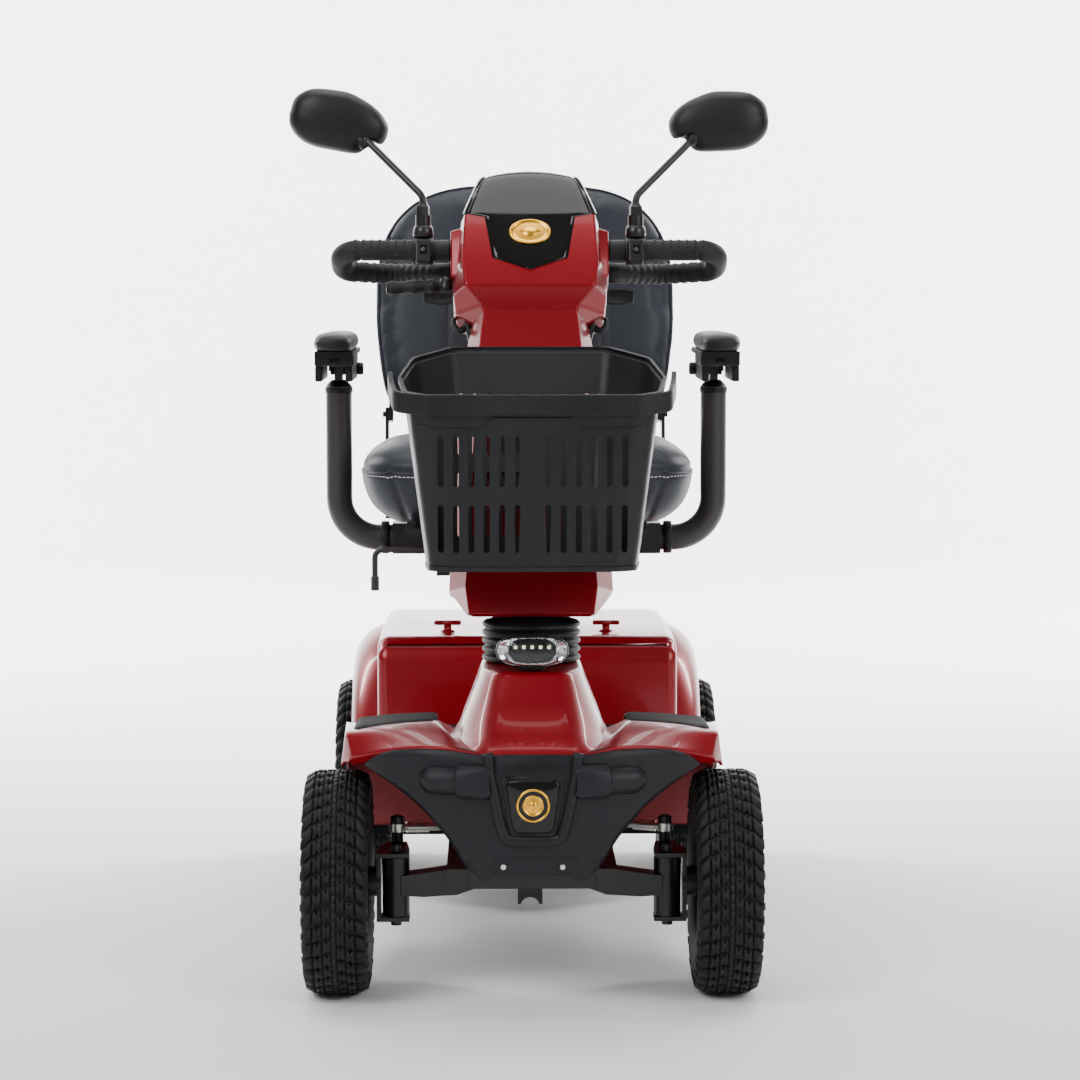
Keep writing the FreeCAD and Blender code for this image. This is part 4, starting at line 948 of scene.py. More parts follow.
def make_speed_dial():
    """Knurled knob with a pointer."""
    centre = on_tiller(0, 0, 636)
    knob = [(81.2, 0.1), (81.2, 17.4), (83, 18), (92, 16.6), (95, 15.4), (96.5, 12.5), (96.2, 0.1)]
    dial = turned("speed_dial_knob", centre, TILLER_BACK, knob, GRIP, 72)
    for v in dial.data.vertices:
        reach = (v.co - centre).dot(TILLER_BACK)
        radial = v.co - centre - TILLER_BACK * reach
        angle = math.atan2(radial.dot(TILLER_UP), radial.x)
        if 82 < reach / MM < 96 and radial.length > 0.012:
            v.co -= radial.normalized() * (0.9 * MM * (0.5 + 0.5 * math.cos(angle * 24)))
    settle(dial, "speed_dial", ["speed_dial"])
    pointer = tiller_plate("speed_dial_pointer", (-1.1, 95.6, 639), (1.1, 97.2, 650), THREAD, 0.0003)
    settle(pointer, "speed_dial")


# ---- handlebar ------------------------------------------------------------------------------------
def make_handlebar():
    """Ribbed sleeves over the delta loop; the loop itself is the black bar inside them."""
    frame["nodes"]["handlebar"].data.materials[0] = CHASSIS
    corners = [(122, 0, 620), (290, 0, 620), (290, 66, 612), (205, 92, 616), (130, 40, 598), (122, 40, 598)]
    line = rounded_path([on_tiller(*p) for p in corners], [bend * MM for bend in (30, 26, 40, 8)])

    def sleeve(share, angle):
        """Finger ribs on the rear bar and collars where the moulding changes."""
        r = 16.0
        if 0.62 < share < 0.93:
            r += 0.9 * math.sin((share - 0.62) * 190) - 0.3
        if abs(share - 0.34) < 0.006 or abs(share - 0.60) < 0.006:
            r -= 1.3
        if 0.35 < share < 0.59:
            r += 0.5
        return r * math.cos(angle), r * math.sin(angle)
    left, right = both(sweep("handlebar_grip_left", even_path(line, 150), sleeve, GRIP, steps=32),
                       "handlebar_grip", "tiller")
    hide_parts("handlebar_grips")
    points, faces = [], []
    for a in (math.radians(-50 + 25 * row) for row in range(8)):
        for x in (192 + k * 12.6 for k in range(7)):
            out = -TILLER_BACK * math.cos(a) + TILLER_UP * math.sin(a)
            dot_into(points, faces, on_tiller(x, 0, 620) + out * (15.8 * MM), out, 2.2 * MM)
    both(mesh_object("handlebar_dots_left", points, faces, GRIP), "handlebar_dots", "tiller")


def dot_into(points, faces, centre, out, radius):
    """Adds one small raised dome."""
    side = out.orthogonal().normalized()
    other = out.cross(side)
    start = len(points)
    for r, lift in ((1.0, -0.2), (0.75, 0.45), (0.3, 0.65)):
        points += [centre + (side * math.cos(a) + other * math.sin(a)) * (radius * r) + out * (radius * lift)
                   for a in angles(8)]
    for b in (start, start + 8):
        faces += [(b + k, b + (k + 1) % 8, b + 8 + (k + 1) % 8, b + 8 + k) for k in range(8)]
    faces.append(tuple(start + 16 + k for k in range(8)))


def make_tilt_lever():
    """Finger-ribbed lever below the right handlebar."""
    points = ((-134, 562.5), (-150, 561.5), (-180, 560), (-214, 558), (-220, 557.5))
    path = [on_tiller(x, 0, z) for x, z in points]

    def section(share, angle):
        r = 9.6 + 1.1 * math.cos(share * 2 * PI * 4.2)
        r *= min(1.0, math.sqrt(max(0.02, (1 - share) * 14)))
        r = r if share > 0.1 else 7.6
        return r * math.cos(angle), r * math.sin(angle)
    settle(sweep("tilt_lever_grip", smooth_path(path, 60), section, GRIP), "tilt_lever", ["tilt_lever"])
    hub = [(0, 4.3), (0, 9.2), (1, 10), (19, 10), (20, 9.2), (20, 4.3)]
    settle(turned("tilt_lever_hub", on_tiller(-128, 0, 552.3), TILLER_UP, hub, CHASSIS, 32), "tilt_lever")


def make_throttle():
    """Thumb paddles with a cupped face on swept-back arms."""
    y, z, sweep_back = 112, 588, 26
    hub = [(0, 5.3), (0, 12), (1, 13), (21, 13), (22, 12), (22, 5.3)]
    settle(turned("throttle_hub", on_tiller(0, y, z), TILLER_UP, hub, DARK, 32), "throttle_lever",
           ["throttle_lever"], "black_rubber")
    rings = []
    for x in (-118, 0, 118):
        middle = y + sweep_back * abs(x) / 118
        rings.append([on_tiller(x, middle + dy, z + dz) for dy, dz in ((-5, 5), (5, 5), (5, 17), (-5, 17))])
    settle(bevel(loft("throttle_arm", rings, DARK), 0.002), "throttle_lever", slot="black_rubber")
    for side, label in SIDES:
        rows = []
        for t in (k / 8 for k in range(9)):
            half = 8 + 4.5 * math.sin(PI * min(1, t * 1.15) * 0.85)
            cup = 1.8 * math.sin(PI * t)
            rows.append([on_tiller(side * (112 + 53 * t), y + sweep_back - 3.4 + cup * (1 - (v / 4) ** 2),
                                   z + 8 + half * v / 4) for v in range(-4, 5)])
        paddle = grid(f"throttle_paddle_{label}", rows, GRIP)
        settle(thicken(subdivide(paddle, 1), 0.004), "throttle_lever")


def make_bag_hooks():
    """Black hooks low on the head's sides."""
    outline = [(-12, 507), (12, 507), (15, 497), (8, 482), (10, 470), (2, 462), (-8, 470), (-13, 488)]
    line = ((95, -2, 496), (104, -4, 488), (112, -4, 490), (116, -4, 500), (115, -4, 508))
    for side, label in SIDES:
        ends = [[on_tiller(side * (x + (z - 485) * 0.24), y * lean, z) for y, z in outline]
                for x, lean in ((91, 1.0), (97, 0.94))]
        plate = bevel(prism(f"bag_hook_plate_{label}", *ends, DARK), 0.0012, 2)
        settle(plate, "tiller", ["bag_hooks"] if side > 0 else ())
        path = smooth_path([on_tiller(side * x, y, z) for x, y, z in line], 20)
        hook = sweep(f"bag_hook_{label}", path,
                     lambda s, a: (6 * (1 - 0.5 * s) * math.cos(a), 3 * math.sin(a)), DARK, TILLER_BACK, 12)
        settle(hook, "tiller")


# ---- mirrors --------------------------------------------------------------------------------------
MIRROR_EDGE = [(78, 0), (73, 25), (57, 40), (38, 46), (0, 47), (-18, 44), (-45, 33), (-64, 20), (-76, 4),
               (-77, -10), (-74, -20), (-68, -27), (-60, -25), (-51, -27), (-43, -39), (-30, -46), (0, -46),
               (38, -43), (62, -32), (75, -16)]
RIGHT_MIRROR_TURN = 8


def mirror_outline(cx, cz, scale, inset, y):
    """The mirror's outline about its centre; inset draws it in by some millimetres."""
    ring = []
    for x, z in MIRROR_EDGE:
        reach = math.hypot(x, z)
        share = scale * (reach - inset) / reach
        ring.append(mm(cx + x * share, y, cz + z * share))
    return even_path(smooth_path(ring + [ring[0]], 90), 72)[:-1]


def make_mirrors():
    low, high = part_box("mirror_left")
    cx, cz = (low.x + high.x) / 2 / MM, (low.z + high.z) / 2 / MM
    front, back = low.y / MM, high.y / MM
    dome = ((0.04, 0), (0.3, 0.4), (0.55, 2), (0.75, 5), (0.88, 10), (0.96, 18), (1, 27))
    rings = [mirror_outline(cx, cz, scale, 0, front + depth) for scale, depth in dome]
    rings += [mirror_outline(cx, cz, 1, inset, back - lift)
              for inset, lift in ((0, 3), (1.5, 0), (5, 0), (6, 3))]
    shell = sharpen(loft("mirror_left_shell", rings, MIRROR_SHELL), 50)
    rings = [mirror_outline(cx, cz, scale, 6.4, back - lift)
             for scale, lift in ((1, 3.2), (0.5, 2.4), (0.04, 2))]
    glass = loft("mirror_left_glass", rings, MIRROR_GLASS, cap_start=False)
    ball = Vector(JOINTS["mirror_left_aim"]["pos_m"])
    socket = turned("mirror_left_socket", ball, (0.66, 0.12, 0.74),
                    [(-8, 5.8), (-7, 7), (0, 9), (6, 8.5), (12, 6)], MIRROR_SHELL, 24)
    screw = turned("mirror_left_screw", mm(cx - 37, front + 8, cz - 33), (0, -1, 0),
                   [(-4, 3.4), (0.6, 3.2), (0.6, 1.8), (-0.6, 1.6), (-0.6, 0.1)], CHASSIS, 6)
    hub = mm(-cx, 0, cz)
    swing = Matrix.Translation(hub) @ Matrix.Rotation(math.radians(RIGHT_MIRROR_TURN), 4, "Y") @ \
        Matrix.Translation(-hub)
    for made, name in ((shell, "shell"), (glass, "glass"), (socket, "socket"), (screw, "screw")):
        left, right = both(made, f"mirror_{name}", MIRRORS)
        right.data.transform(swing)
        if made is shell:
            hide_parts("mirror_left")
            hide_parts("mirror_right")
    make_mirror_stems(on_tiller(163, 0, 620), ball)


def make_mirror_stems(foot, ball):
    """Stem sleeve, nut, and the clamp's cap, lug and bolt on the bar."""
    frame["nodes"]["mirror_stems"].data.materials[0] = CHASSIS
    line = rounded_path([foot + mm(0, 0, 56), foot + mm(0, 0, 82), ball], [22 * MM])
    rod = sweep("mirror_stem_rod_left", even_path(line, 40), tube(5.6), CHASSIS, (0, 1, 0))
    both(rod, "mirror_stem_rod", "tiller")
    nut = turned("mirror_stem_nut_left", foot + mm(0, 0, 52), (0, 0, 1),
                 [(0, 10.5), (15, 10.5), (17, 8.5), (24, 5)], CHASSIS, 6)
    both(bevel(nut, 0.0008, 2), "mirror_stem_nut", "tiller", "arm_paint")
    cap = [(18, 6), (19, 14), (24, 16), (34, 15), (38, 12.5), (38, 6)]
    both(turned("mirror_clamp_cap_left", foot, (0, 0, 1), cap, CHASSIS, 32), "mirror_clamp_cap", "tiller")
    lug = tiller_plate("mirror_clamp_lug_left", (151, -25.4, 592), (175, -12, 629), CHASSIS, 0.003)
    both(lug, "mirror_clamp_lug", "tiller")
    window = tiller_plate("mirror_clamp_window_left", (157, -26.2, 604), (169, -24, 620), GLOSS, 0.0006)
    both(window, "mirror_clamp_window", "tiller")
    bolt = turned("mirror_clamp_bolt_left", on_tiller(163, -26.2, 611), -TILLER_BACK,
                  [(-1, 3.8), (1.2, 3.8), (1.8, 3.2), (1.8, 0.1)], ARM_PAINT, 6)
    both(bolt, "mirror_clamp_bolt", "tiller")


# ---- basket ---------------------------------------------------------------------------------------
BASKET_FLOOR = [(118, -668), (146, -650), (153, -590), (138, -536), (88, -512)]
BASKET_TOP = [(148, -700), (178, -680), (188, -590), (172, -470), (116, -398)]
BASKET_BAND = [(150, -704), (197, -684), (207, -598)]
BASKET_BENDS = [16, 20, 60, 50, 26]
BASKET_STEP = [(-175, 842), (-75, 839), (-58, 855.5), (54, 855.5), (69, 839.7), (165, 842)]
BASKET_FLOOR_Z = 637.0
BASKET_RIM_Z = 889.0
BASKET_SLOPE = 0.19
BASKET_MIDDLE_Y = -560.0


def rim_z(y):
    return BASKET_RIM_Z + BASKET_SLOPE * (y + 700)


def both_halves(half):
    """A whole outline in plan from its left half, starting at the right side's last point."""
    return [Vector((-x, y, 0)) for x, y in reversed(half)] + [Vector((x, y, 0)) for x, y in half]


def basket_plan(corners, out):
    """A basket outline seen from above: straight runs joined by small arcs, grown outwards by out."""
    grown = [(x + out, y + (out if y > BASKET_MIDDLE_Y else -out)) for x, y in corners]
    return rounded_path(both_halves(grown[::-1]), BASKET_BENDS + BASKET_BENDS[::-1], closed=True)


def basket_outline(share, out=0.0, lift=0.0):
    """The wall's outline from the floor (share 0) to the rim (share 1)."""
    ring = []
    for low, high in zip(basket_plan(BASKET_FLOOR, out), basket_plan(BASKET_TOP, out)):
        bottom = Vector((low.x, low.y, BASKET_FLOOR_Z))
        top = Vector((high.x, high.y, rim_z(high.y)))
        ring.append((bottom.lerp(top, share) + Vector((0, 0, lift))) * MM)
    return ring


def make_basket():
    """One moulding: slotted walls, a band round the front of the rim, and a thin rolled edge behind it."""
    levels = [(0, -8), (0, 1.5), (0.028, 1.5), (0.03,), (0.25,), (0.5,), (0.75,), (0.97,), (0.975, 4.5),
              (1, 4.5, 1), (1, 0, 1)]
    walls = grid("basket_walls", [basket_outline(*level) for level in levels], BASKET, closed=True)
    step_line = surface_path(walls, even_path([mm(x, -705, z) for x, z in BASKET_STEP], 90), 0.0002)
    apply_modifiers(thicken(walls, 0.003))
    cut_away(walls, [slot_cutter()])
    settle(sharpen(walls, 28), "tiller", ["basket"])
    settle(sweep("basket_front_step", step_line, tube(1.3), BASKET, steps=8), "tiller")
    rings = [basket_outline(0, -2, 3), basket_outline(0, -3, 3)]
    bottom = loft("basket_floor", rings, BASKET, cap_start=False)
    settle(thicken(bottom, 0.003), "tiller")
    line = even_path(rounded_path(both_halves(BASKET_BAND), [26, 18, 18, 26]), 160)
    rows = []
    for out, drop in ((-7, -1.5), (-1.5, -1.5), (0, 0), (0, 14), (-0.5, 26), (-2, 28), (-7, 28)):
        row = []
        for k, p in enumerate(line):
            ahead = (line[min(k + 1, 160)] - line[max(k - 1, 0)]).normalized()
            spot = p + Vector((ahead.y, -ahead.x, 0)) * out
            horn = 9 * max(0.0, (p.y + 640) / 42) ** 2 if drop < 14 else 0
            row.append(mm(spot.x, spot.y, rim_z(p.y) - drop + horn))
        rows.append(row)
    settle(bevel(thicken(grid("basket_rim_band", rows, BASKET), 0.0026), 0.0006, 2), "tiller")


def slot_cutter():
    """The two rows of finger-wide slots through the front and through the back."""
    points, faces = [], []
    for side in (-1, 1):
        for low, high in ((664, 733), (758, 831)):
            for k in range(6):
                slot_into(points, faces, side * (22 + 21.6 * k), -780, -610, low, high, 0.55 if k == 0 else 1)
        for low, high in ((673, 766), (790, 880)):
            for k in range(5):
                slot_into(points, faces, side * (18 + 21.6 * k), -560, -370, low, high)
    return mesh_object("slot_cutter", points, faces, BASKET)


def slot_into(points, faces, x, y0, y1, low, high, foot=1.0):
    """Adds a round-ended slot-shaped bar to the cutter; foot narrows its lower end."""
    half = 4.3
    outline = []
    for start, r, z in ((0, half, high - half), (PI, half * foot, low + half * foot)):
        turns = [start + PI * k / 6 for k in range(7)]
        outline += [(x + r * math.cos(a), z + r * math.sin(a)) for a in turns]
    prism_into(points, faces, *([mm(px, y, pz) for px, pz in outline] for y in (y0, y1)))


# ---- rear body ------------------------------------------------------------------------------------
def rear_side(drop):
    """The rear body's side outline, drawn in by drop."""
    top = [(120 + drop / 2, 450), (300, 453), (560, 441), (640 - drop / 2, 438), (670 - drop, 424)]
    return [(96 + drop, 206), (96 + drop, 424 - drop / 2)] + [(y, z - drop) for y, z in top] + \
        [(700 - drop, 340), (700 - drop, 206)]


def prism_across(name, half, outline):
    """A block with the given side outline, from one side of the scooter to the other."""
    return prism(name, *([mm(x, y, z) for y, z in outline] for x in (-half, half)), RED)


def make_rear_shroud():
    shell = bevel(prism_across("rear_shroud_body", 250, rear_side(0)), 0.020, 6, 40)
    apply_modifiers(shell)
    inside = rear_side(6)
    inside[0], inside[-1] = (inside[0][0], 150), (inside[-1][0], 150)
    post = turned("post_cutter", (0, JOINTS["seat_swivel"]["pos_m"][1], 0.42), (0, 0, 1),
                  [(0, 0.5), (0, 36), (60, 36), (60, 0.5)], RED)
    cutters = [prism_across("hollow_cutter", 244, inside), post]
    for x0, x1 in ((222, 330), (-330, -222)):
        profile = [(x0, 0.5), (x0, 177), (x1, 177), (x1, 0.5)]
        cutters.append(turned("well_cutter", (0, REAR_AXLE.y, REAR_AXLE.z), (1, 0, 0), profile, RED, 72))
        cutters.append(box("well_box_cutter", mm(x0, 298, 100), mm(x1, 652, 166), RED, 0.0001, 1))
    cut_away(shell, cutters)
    settle(sharpen(shell, 35), "chassis", ["rear_shroud"])
    both(make_fender(), "rear_fender", "chassis")
    knob = [(0, 13), (3, 12), (4, 7), (12, 6.5), (14, 9), (18, 9.5), (19, 6), (19, 0.1)]
    for side, label in SIDES:
        spot = mm(side * 134, 190, 450)
        settle(turned(f"cover_knob_{label}", spot, (0, 0, 1), knob, RED, 32), "chassis")
        wing = box(f"cover_knob_wing_{label}", spot + mm(-23, -5, 12), spot + mm(23, 5, 20), RED, 0.003)
        settle(wing, "chassis")
    band = box("rear_bumper_bar", mm(-214, 698, 230), mm(214, 717, 320), DARK, 0.008, 4)
    settle(band, "chassis", ["rear_bumper"])
    for z in (250, 275, 300):
        rib = box(f"rear_bumper_rib_{z}", mm(-196, 714, z - 3), mm(196, 718.5, z + 3), DARK, 0.002, 2)
        settle(rib, "chassis")
    settle(box("deck_riser_mat", mm(-236, 90, 206), mm(236, 96.5, 306), MAT), "chassis")


def make_fender():
    """Bulging arch over the left rear wheel, its lip turned in round the opening."""
    section = [(296, 178), (300, 179), (303, 186), (304, 202), (300, 224), (288, 245), (270, 260), (250, 268),
               (236, 270)]
    rows = []
    for k in range(29):
        a = math.radians(-12 + 204 * k / 28)
        behind = max(0.0, a - PI / 2) / (PI / 2)
        squeeze = 1 - 0.52 * behind ** 1.4
        flare = 1.0 - (0.35 * math.cos(a) ** 2 if behind else 0)
        row = []
        for x, r in section:
            reach = 178 + (r - 178) * squeeze
            row.append(mm(236 + (x - 236) * flare, REAR_AXLE.y / MM - reach * math.cos(a),
                          REAR_AXLE.z / MM + reach * math.sin(a)))
        rows.append(row)
    return thicken(subdivide(grid("rear_fender_left", rows, RED), 2), 0.004)


def make_tail_lights():
    """Ribbed lenses over the sloped tail."""
    for side, label in SIDES:
        x0, x1 = sorted((side * 132, side * 214))
        rows = []
        for k in range(25):
            t = k / 24
            y, z = 699 - 14.5 * t, 345 + 47 * t
            lift = 7.5 + 0.9 * math.sin(t * PI * 14) if 0 < k < 24 else 0
            inset = 2 if lift else 0
            rows.append([mm(x0 + inset, y, z), mm(x0 + 3, y + lift, z + lift * 0.25),
                         mm(x1 - 3, y + lift, z + lift * 0.25), mm(x1 - inset, y, z)])
        lens = grid(f"tail_light_{label}", rows, RED_LENS)
        settle(lens, "chassis", ["tail_lights"] if side > 0 else ())


# ---- seat -----------------------------------------------------------------------------------------
CUSHION_POWER = 0.42
BACK_LEAN = math.radians(10)
PANEL_HALF = 138
ARM_X = 319
BACK_OUTLINE = [(0, 15), (120, 15), (228, 15), (250, 22), (258, 36), (266, 80), (272, 130), (275, 170),
                (275, 240), (271, 280), (262, 312), (243, 352), (203, 391), (148, 413), (88, 420), (0, 422)]


def cushion_cage(name, half, depth, centre_y, layers, crown):
    """A closed cushion cage, rounded in plan: layers are (height, scale) pairs and crown arches the top."""
    rings = [[mm(x, centre_y + y, z) for x, y in superellipse(half * scale, depth * scale, CUSHION_POWER, 48)]
             for z, scale in layers]
    top, last = layers[-1]
    edge, middle = rings[-1], centre_y * MM
    for scale, lift in ((0.62, 0.6), (0.36, 0.85), (0.12, 1.0)):
        share, z = scale / last, (top + crown * lift) * MM
        rings.append([Vector((p.x * share, middle + (p.y - middle) * share, z)) for p in edge])
    return loft(name, rings, VINYL)


def puff(made, cap, pressure=4.0, voxel=0.006):
    """Swells a closed form with a short cloth simulation, moving no point further than cap."""
    apply_modifiers(add_modifier(made, "REMESH", mode="VOXEL", voxel_size=voxel))
    rest = [v.co.copy() for v in made.data.vertices]
    cloth = made.modifiers.new("cloth", "CLOTH")
    cloth.settings.use_pressure = True
    cloth.settings.uniform_pressure_force = pressure
    cloth.settings.effector_weights.gravity = 0
    cloth.settings.tension_stiffness = 12
    cloth.settings.compression_stiffness = 12
    cloth.settings.quality = 4
    cloth.point_cache.frame_start = 1
    cloth.point_cache.frame_end = 20
    for step in range(1, 21):
        bpy.context.scene.frame_set(step)
    apply_modifiers(made)
    bpy.context.scene.frame_set(1)
    for v, start in zip(made.data.vertices, rest):
        move = v.co - start
        if move.length > cap:
            v.co = start + move.normalized() * cap


def finish_pad(pad, seams, depth):
    """Swells a pad's skin, draws it in along its seams and smooths it; seams are distance functions."""
    apply_modifiers(subdivide(pad, 2))
    puff(pad, 0.006)
    width = 0.014
    for v in pad.data.vertices:
        for distance in seams:
            d = distance(v.co)
            if d is not None and d < width:
                v.co -= v.normal * depth * math.exp(-(d / (width * 0.35)) ** 2)
    apply_modifiers(subdivide(pad, 1))
    pad.data.shade_smooth()


def seam_bead(name, path, radius, material, body):
    settle(sweep(name, path, tube(radius), material, steps=8), body)


def stitches(name, path, material, body):
    """Short thread stitches laid along a path."""
    pitch, length, radius = 0.0075, 0.0056, 0.0009
    total, cuts = 0.0, []
    for a, b in zip(path, path[1:]):
        span = (b - a).length
        while total <= span:
            cuts.append((a.lerp(b, total / span), (b - a).normalized()))
            total += pitch
        total -= span
    points, faces = [], []
    for spot, ahead in cuts:
        side = ahead.orthogonal().normalized()
        other = ahead.cross(side)
        start = len(points)
        for along, r in ((-0.5, 0.4), (-0.3, 1.0), (0.3, 1.0), (0.5, 0.4)):
            middle = spot + ahead * (along * length)
            points += [middle + (side * math.cos(a) + other * math.sin(a)) * (radius * r) for a in angles(5)]
        for b in (start, start + 5, start + 10):
            faces += [(b + k, b + (k + 1) % 5, b + 5 + (k + 1) % 5, b + 5 + k) for k in range(5)]
    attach(mesh_object(name, points, faces, material), body)


def make_cushion():
    low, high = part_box("seat_cushion")
    half = high.x / MM + 6
    front, back, bottom, top = low.y / MM, high.y / MM, low.z / MM, high.z / MM
    middle, depth, seam = (front + back) / 2, (back - front) / 2 - 4, top - 50
    layers = [(bottom + 6, 0.74), (bottom + 10, 0.83), (bottom + 26, 0.91), (bottom + 52, 0.955),
              (seam - 16, 0.98), (seam, 0.985), (seam + 18, 0.965), (top - 22, 0.92), (top - 13, 0.84)]
    cushion = cushion_cage("seat_cushion_cover", half, depth, middle, layers, 12)

    def inset_seam(co):
        return abs(abs(co.x) - 0.135) if co.z > seam * MM else None

    def border_seam(co):
        return abs(co.z - seam * MM)

    def dart_seam(co):
        return abs(abs(co.x) - 0.225 - (co.z - seam * MM) * 0.35) if co.z < (seam - 4) * MM else None
    finish_pad(cushion, [inset_seam, border_seam, dart_seam], 0.0035)
    settle(cushion, "seat", ["seat_cushion"])
    ring = [mm(x, middle + y, seam) for x, y in superellipse(half, depth, CUSHION_POWER, 160)]
    ring.append(ring[0])
    seam_bead("seat_cushion_piping", surface_path(cushion, ring, 0.0006), 2.2, VINYL, "seat")
    stitches("seat_cushion_stitches", surface_path(cushion, [p - mm(0, 0, 7) for p in ring]), THREAD, "seat")
    for side, label in SIDES:
        line = [mm(side * 135, y, top) for y in range(int(front) + 40, int(back) - 12, 12)]
        line = surface_path(cushion, line, -0.0004)
        seam_bead(f"seat_cushion_seam_{label}", line, 1.6, VINYL_INSET, "seat")


def local_back(co):
    """A point in the backrest's own axes, in millimetres."""
    rel = co - BACK_HINGE
    y = rel.y * math.cos(BACK_LEAN) - rel.z * math.sin(BACK_LEAN)
    z = rel.y * math.sin(BACK_LEAN) + rel.z * math.cos(BACK_LEAN)
    return rel.x / MM, y / MM, z / MM


def back_frame(x, y, z):
    """Backrest axes (y out of the front is negative, z up from the hinge) to a point."""
    return BACK_HINGE + mm(x, y * math.cos(BACK_LEAN) + z * math.sin(BACK_LEAN),
                           z * math.cos(BACK_LEAN) - y * math.sin(BACK_LEAN))


def back_ring(y, scale_x, scale_z):
    """The backrest's outline, scaled about its middle, at a depth."""
    half = [(x * scale_x, 220 + (z - 220) * scale_z) for x, z in BACK_OUTLINE]
    return [back_frame(x, y, z) for x, z in half + [(-x, z) for x, z in reversed(half[1:-1])]]


def panel_top(x):
    """Height of the seam over the backrest's centre panel."""
    if abs(x) < PANEL_HALF:
        return 262 + 34 * math.cos(x / PANEL_HALF * PI / 2)
    return 262 + (abs(x) - PANEL_HALF) * 0.5


def make_backrest():
    layers = [(-16, 0.30, 0.36), (-15, 0.62, 0.68), (-12, 0.84, 0.87), (-4, 0.93, 0.945), (8, 0.975, 0.98),
              (26, 0.99, 0.99), (44, 0.98, 0.985), (54, 0.94, 0.95), (58, 0.84, 0.87), (59, 0.5, 0.55)]
    cover = loft("seat_back_cover", [back_ring(*layer) for layer in layers], VINYL)

    def panel_seam(co):
        x, y, z = local_back(co)
        return abs(abs(x) - PANEL_HALF) * MM if y < 5 and z < 262 else None

    def top_seam(co):
        x, y, z = local_back(co)
        return abs(z - panel_top(x)) * MM if y < 8 else None
    finish_pad(cover, [panel_seam, top_seam], 0.003)
    cover.data.materials.append(VINYL_INSET)
    for face in cover.data.polygons:
        x, y, z = local_back(face.center)
        if abs(x) < PANEL_HALF and y < 4 and z < panel_top(x):
            face.material_index = 1
    settle(cover, "backrest", ["seat_back"])
    edge = back_ring(2, 0.99, 0.99)
    edge = smooth_path(edge + [edge[0]], 220)
    seam_bead("seat_back_piping", surface_path(cover, edge, 0.0008), 2.6, VINYL, "backrest")
    for side, label in SIDES:
        line = [back_frame(side * PANEL_HALF, -20, z) for z in range(24, 262, 8)]
        seam_bead(f"seat_back_seam_{label}", surface_path(cover, line, 0.0), 1.4, VINYL_INSET, "backrest")
        beside = surface_path(cover, [p + mm(side * 6, 0, 0) for p in line])
        stitches(f"seat_back_stitches_{label}", beside, VINYL_INSET, "backrest")
    rings = [back_ring(61, 0.8, 0.84), back_ring(64, 0.76, 0.81)]
    panel = loft("seat_back_panel", rings, DARK, cap_start=False)
    settle(bevel(panel, 0.001, 2), "backrest")


def make_arm_pads(cx, low, high):
    """Thin pads with rounded ends, narrower towards the back."""
    rings = []
    for t in (k / 14 for k in range(15)):
        full = math.sqrt(min(1, min(t, 1 - t) * 9 + 0.03))
        w = 34.5 * (0.72 + 0.28 * full) * (1 - 0.12 * t)
        top = high.z / MM - 9 - 9 * (1 - full) - 3 * t
        bottom = low.z / MM + 0.5 + 5 * (1 - full)
        half = [(0.35, top), (0.8, top - 3), (0.98, top - 11), (1, bottom + 9), (0.86, bottom)]
        section = [(-x, z) for x, z in reversed(half)] + half
        y = low.y / MM + (high.y - low.y) / MM * t
        rings.append([mm(cx + w * x, y, z) for x, z in section])
    pad = loft("armrest_left_pad_cover", rings, PAD_SKIN)
    crease(pad, lambda a, b: max(a.z, b.z) < low.z + 0.012 and abs(a.z - b.z) < 0.004, 0.5)
    apply_modifiers(subdivide(pad, 2))
    nodes = ("armrest_pad_left", "armrest_pad_right")
    for made, node in zip(both(pad, "armrest_pad_cover", ARMRESTS), nodes):
        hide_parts(node)


def make_armrests():
    low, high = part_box("armrest_pad_left")
    cx = (low.x + high.x) / 2 / MM
    make_arm_pads(cx, low, high)
    mouldings = (("base", (cx - 33, 74, 903), (cx + 32, 230, 927.5), DARK, 0.003),
                 ("tail", (cx - 32, 229, 918), (cx + 31, 350, 927.5), DARK, 0.003),
                 ("slot", (cx - 9, 73.6, 908), (cx + 7, 76, 916), GLOSS, 0.001),
                 ("inner_cheek", (ARM_X - 31, 88, 877), (ARM_X - 19, 272, 904), DARK, 0.003),
                 ("outer_cheek", (ARM_X + 19, 88, 877), (ARM_X + 31, 272, 904), DARK, 0.003))
    for label, start, end, material, width in mouldings:
        made = box(f"armrest_left_{label}", mm(*start), mm(*end), material, width)
        both(made, f"armrest_{label}", ARMRESTS, "dark_plastic")
    knob = turned("armrest_left_knob", mm(ARM_X - 30, 260, 893), (-1, 0, 0),
                  [(-2, 9), (3, 11), (10, 11), (12, 9), (12, 0.1)], DARK, 12)
    both(bevel(knob, 0.001, 2), "armrest_knob", ARMRESTS)
    cap = turned("armrest_post_cap_left", mm(ARM_X, 260, 852), (0, 0, 1),
                 [(0, 22.6), (3, 23.4), (8, 23.4), (14, 20), (19, 15), (21.5, 12.4)], DARK, 40)
    both(cap, "armrest_post_cap", "seat")
    collar = turned("armrest_collar_left", mm(234, 260, 605), (1, 0, 0),
                    [(0, 22.3), (0, 27), (2, 28), (12, 28), (14, 27), (14, 22.3)], DARK, 40)
    both(collar, "armrest_collar", "seat")


# ---- stage ----------------------------------------------------------------------------------------
def place(name, data, spot):
    made = bpy.data.objects.new(name, data)
    made.location = spot
    bpy.context.scene.collection.objects.link(made)
    return made


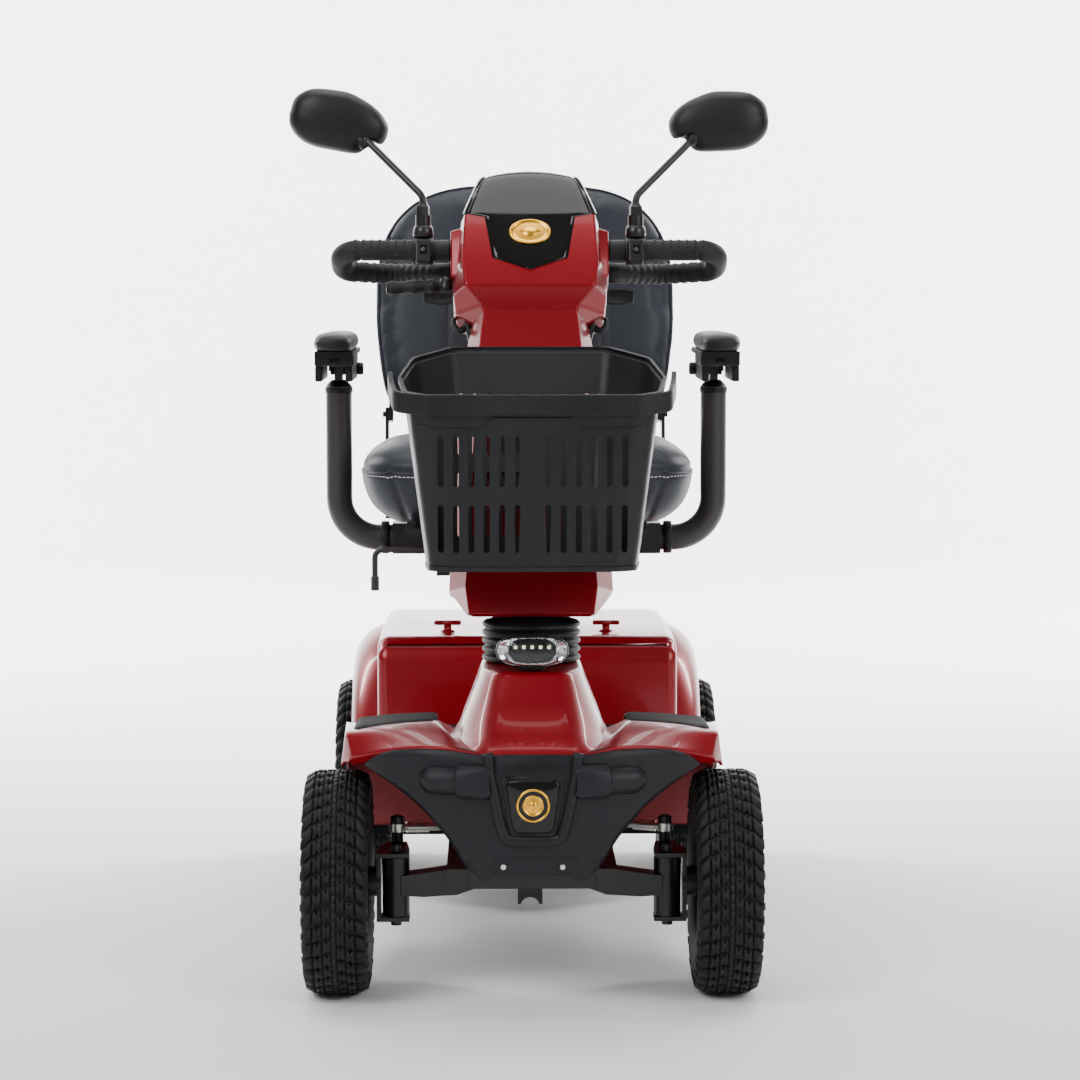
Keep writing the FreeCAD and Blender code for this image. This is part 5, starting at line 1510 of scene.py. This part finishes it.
def make_stage():
    """A pale sweep behind and under the scooter, soft lights, and the camera."""
    rows = []
    for k in range(40):
        a = min(PI / 2, max(0, k - 10) / 16 * PI / 2)
        y = 6 + 3 * math.sin(a) if k >= 10 else -18 + k * 2.4
        z = 3 * (1 - math.cos(a)) + max(0, k - 26) * 0.6
        rows.append([Vector((x, y, z)) for x in range(-12, 13, 2)])
    paper = shader("studio_paper", (0.87, 0.87, 0.87), 0.9)
    vary(paper, texture(paper, "Noise", 3)["Fac"], (0.86, 0.86, 0.86), (0.88, 0.88, 0.88))
    grid("studio_floor", rows, paper)
    world = bpy.data.worlds.new("studio_air")
    world.use_nodes = True
    world.node_tree.nodes["Background"].inputs["Color"].default_value = (1, 1, 1, 1)
    world.node_tree.nodes["Background"].inputs["Strength"].default_value = 0.28
    bpy.context.scene.world = world
    middle, wall = Vector((0, 0, 0.6)), Vector((0, 9, 0.8))
    lights = (("key", (-2.6, -3.6, 3.6), middle, 170, 2.4), ("fill", (3.2, -3.4, 2.6), middle, 120, 2.4),
              ("top", (0.0, 0.2, 4.2), middle, 120, 3.0),
              ("backdrop_left", (-4.2, 3.2, 3.4), wall, 1500, 3.0),
              ("backdrop_right", (4.2, 3.2, 3.4), wall, 1500, 3.0))
    for name, spot, target, power, size in lights:
        lamp = bpy.data.lights.new(name, "AREA")
        lamp.energy = power
        lamp.size = size
        place(name, lamp, spot).rotation_euler = (target - Vector(spot)).to_track_quat("-Z", "Y").to_euler()
    camera = bpy.data.cameras.new("camera")
    camera.lens = 105.43
    camera.sensor_width = 36
    eye = place("camera", camera, (-0.052, FRONT_AXLE.y - 4.6036, 1.0804))
    eye.rotation_euler = (math.radians(90 - 5.097), 0, math.radians(-0.8))
    bpy.context.scene.camera = eye


for part in frame["record"]["subparts"]:
    node = frame["nodes"][part["node"]]
    node.data.materials.clear()
    node.data.materials.append(PAINTS[part["material_slot"]])
for make in (make_stage, make_wheels, make_hood, make_toe_mats, make_cone, make_bumper, make_badge_panel,
             make_lamp, make_bellows, make_tiller_shells, make_console_cover, make_control_panel,
             make_handlebar, make_tilt_lever, make_throttle, make_bag_hooks, make_mirrors, make_basket,
             make_rear_shroud, make_tail_lights, make_cushion, make_backrest, make_armrests):
    make()
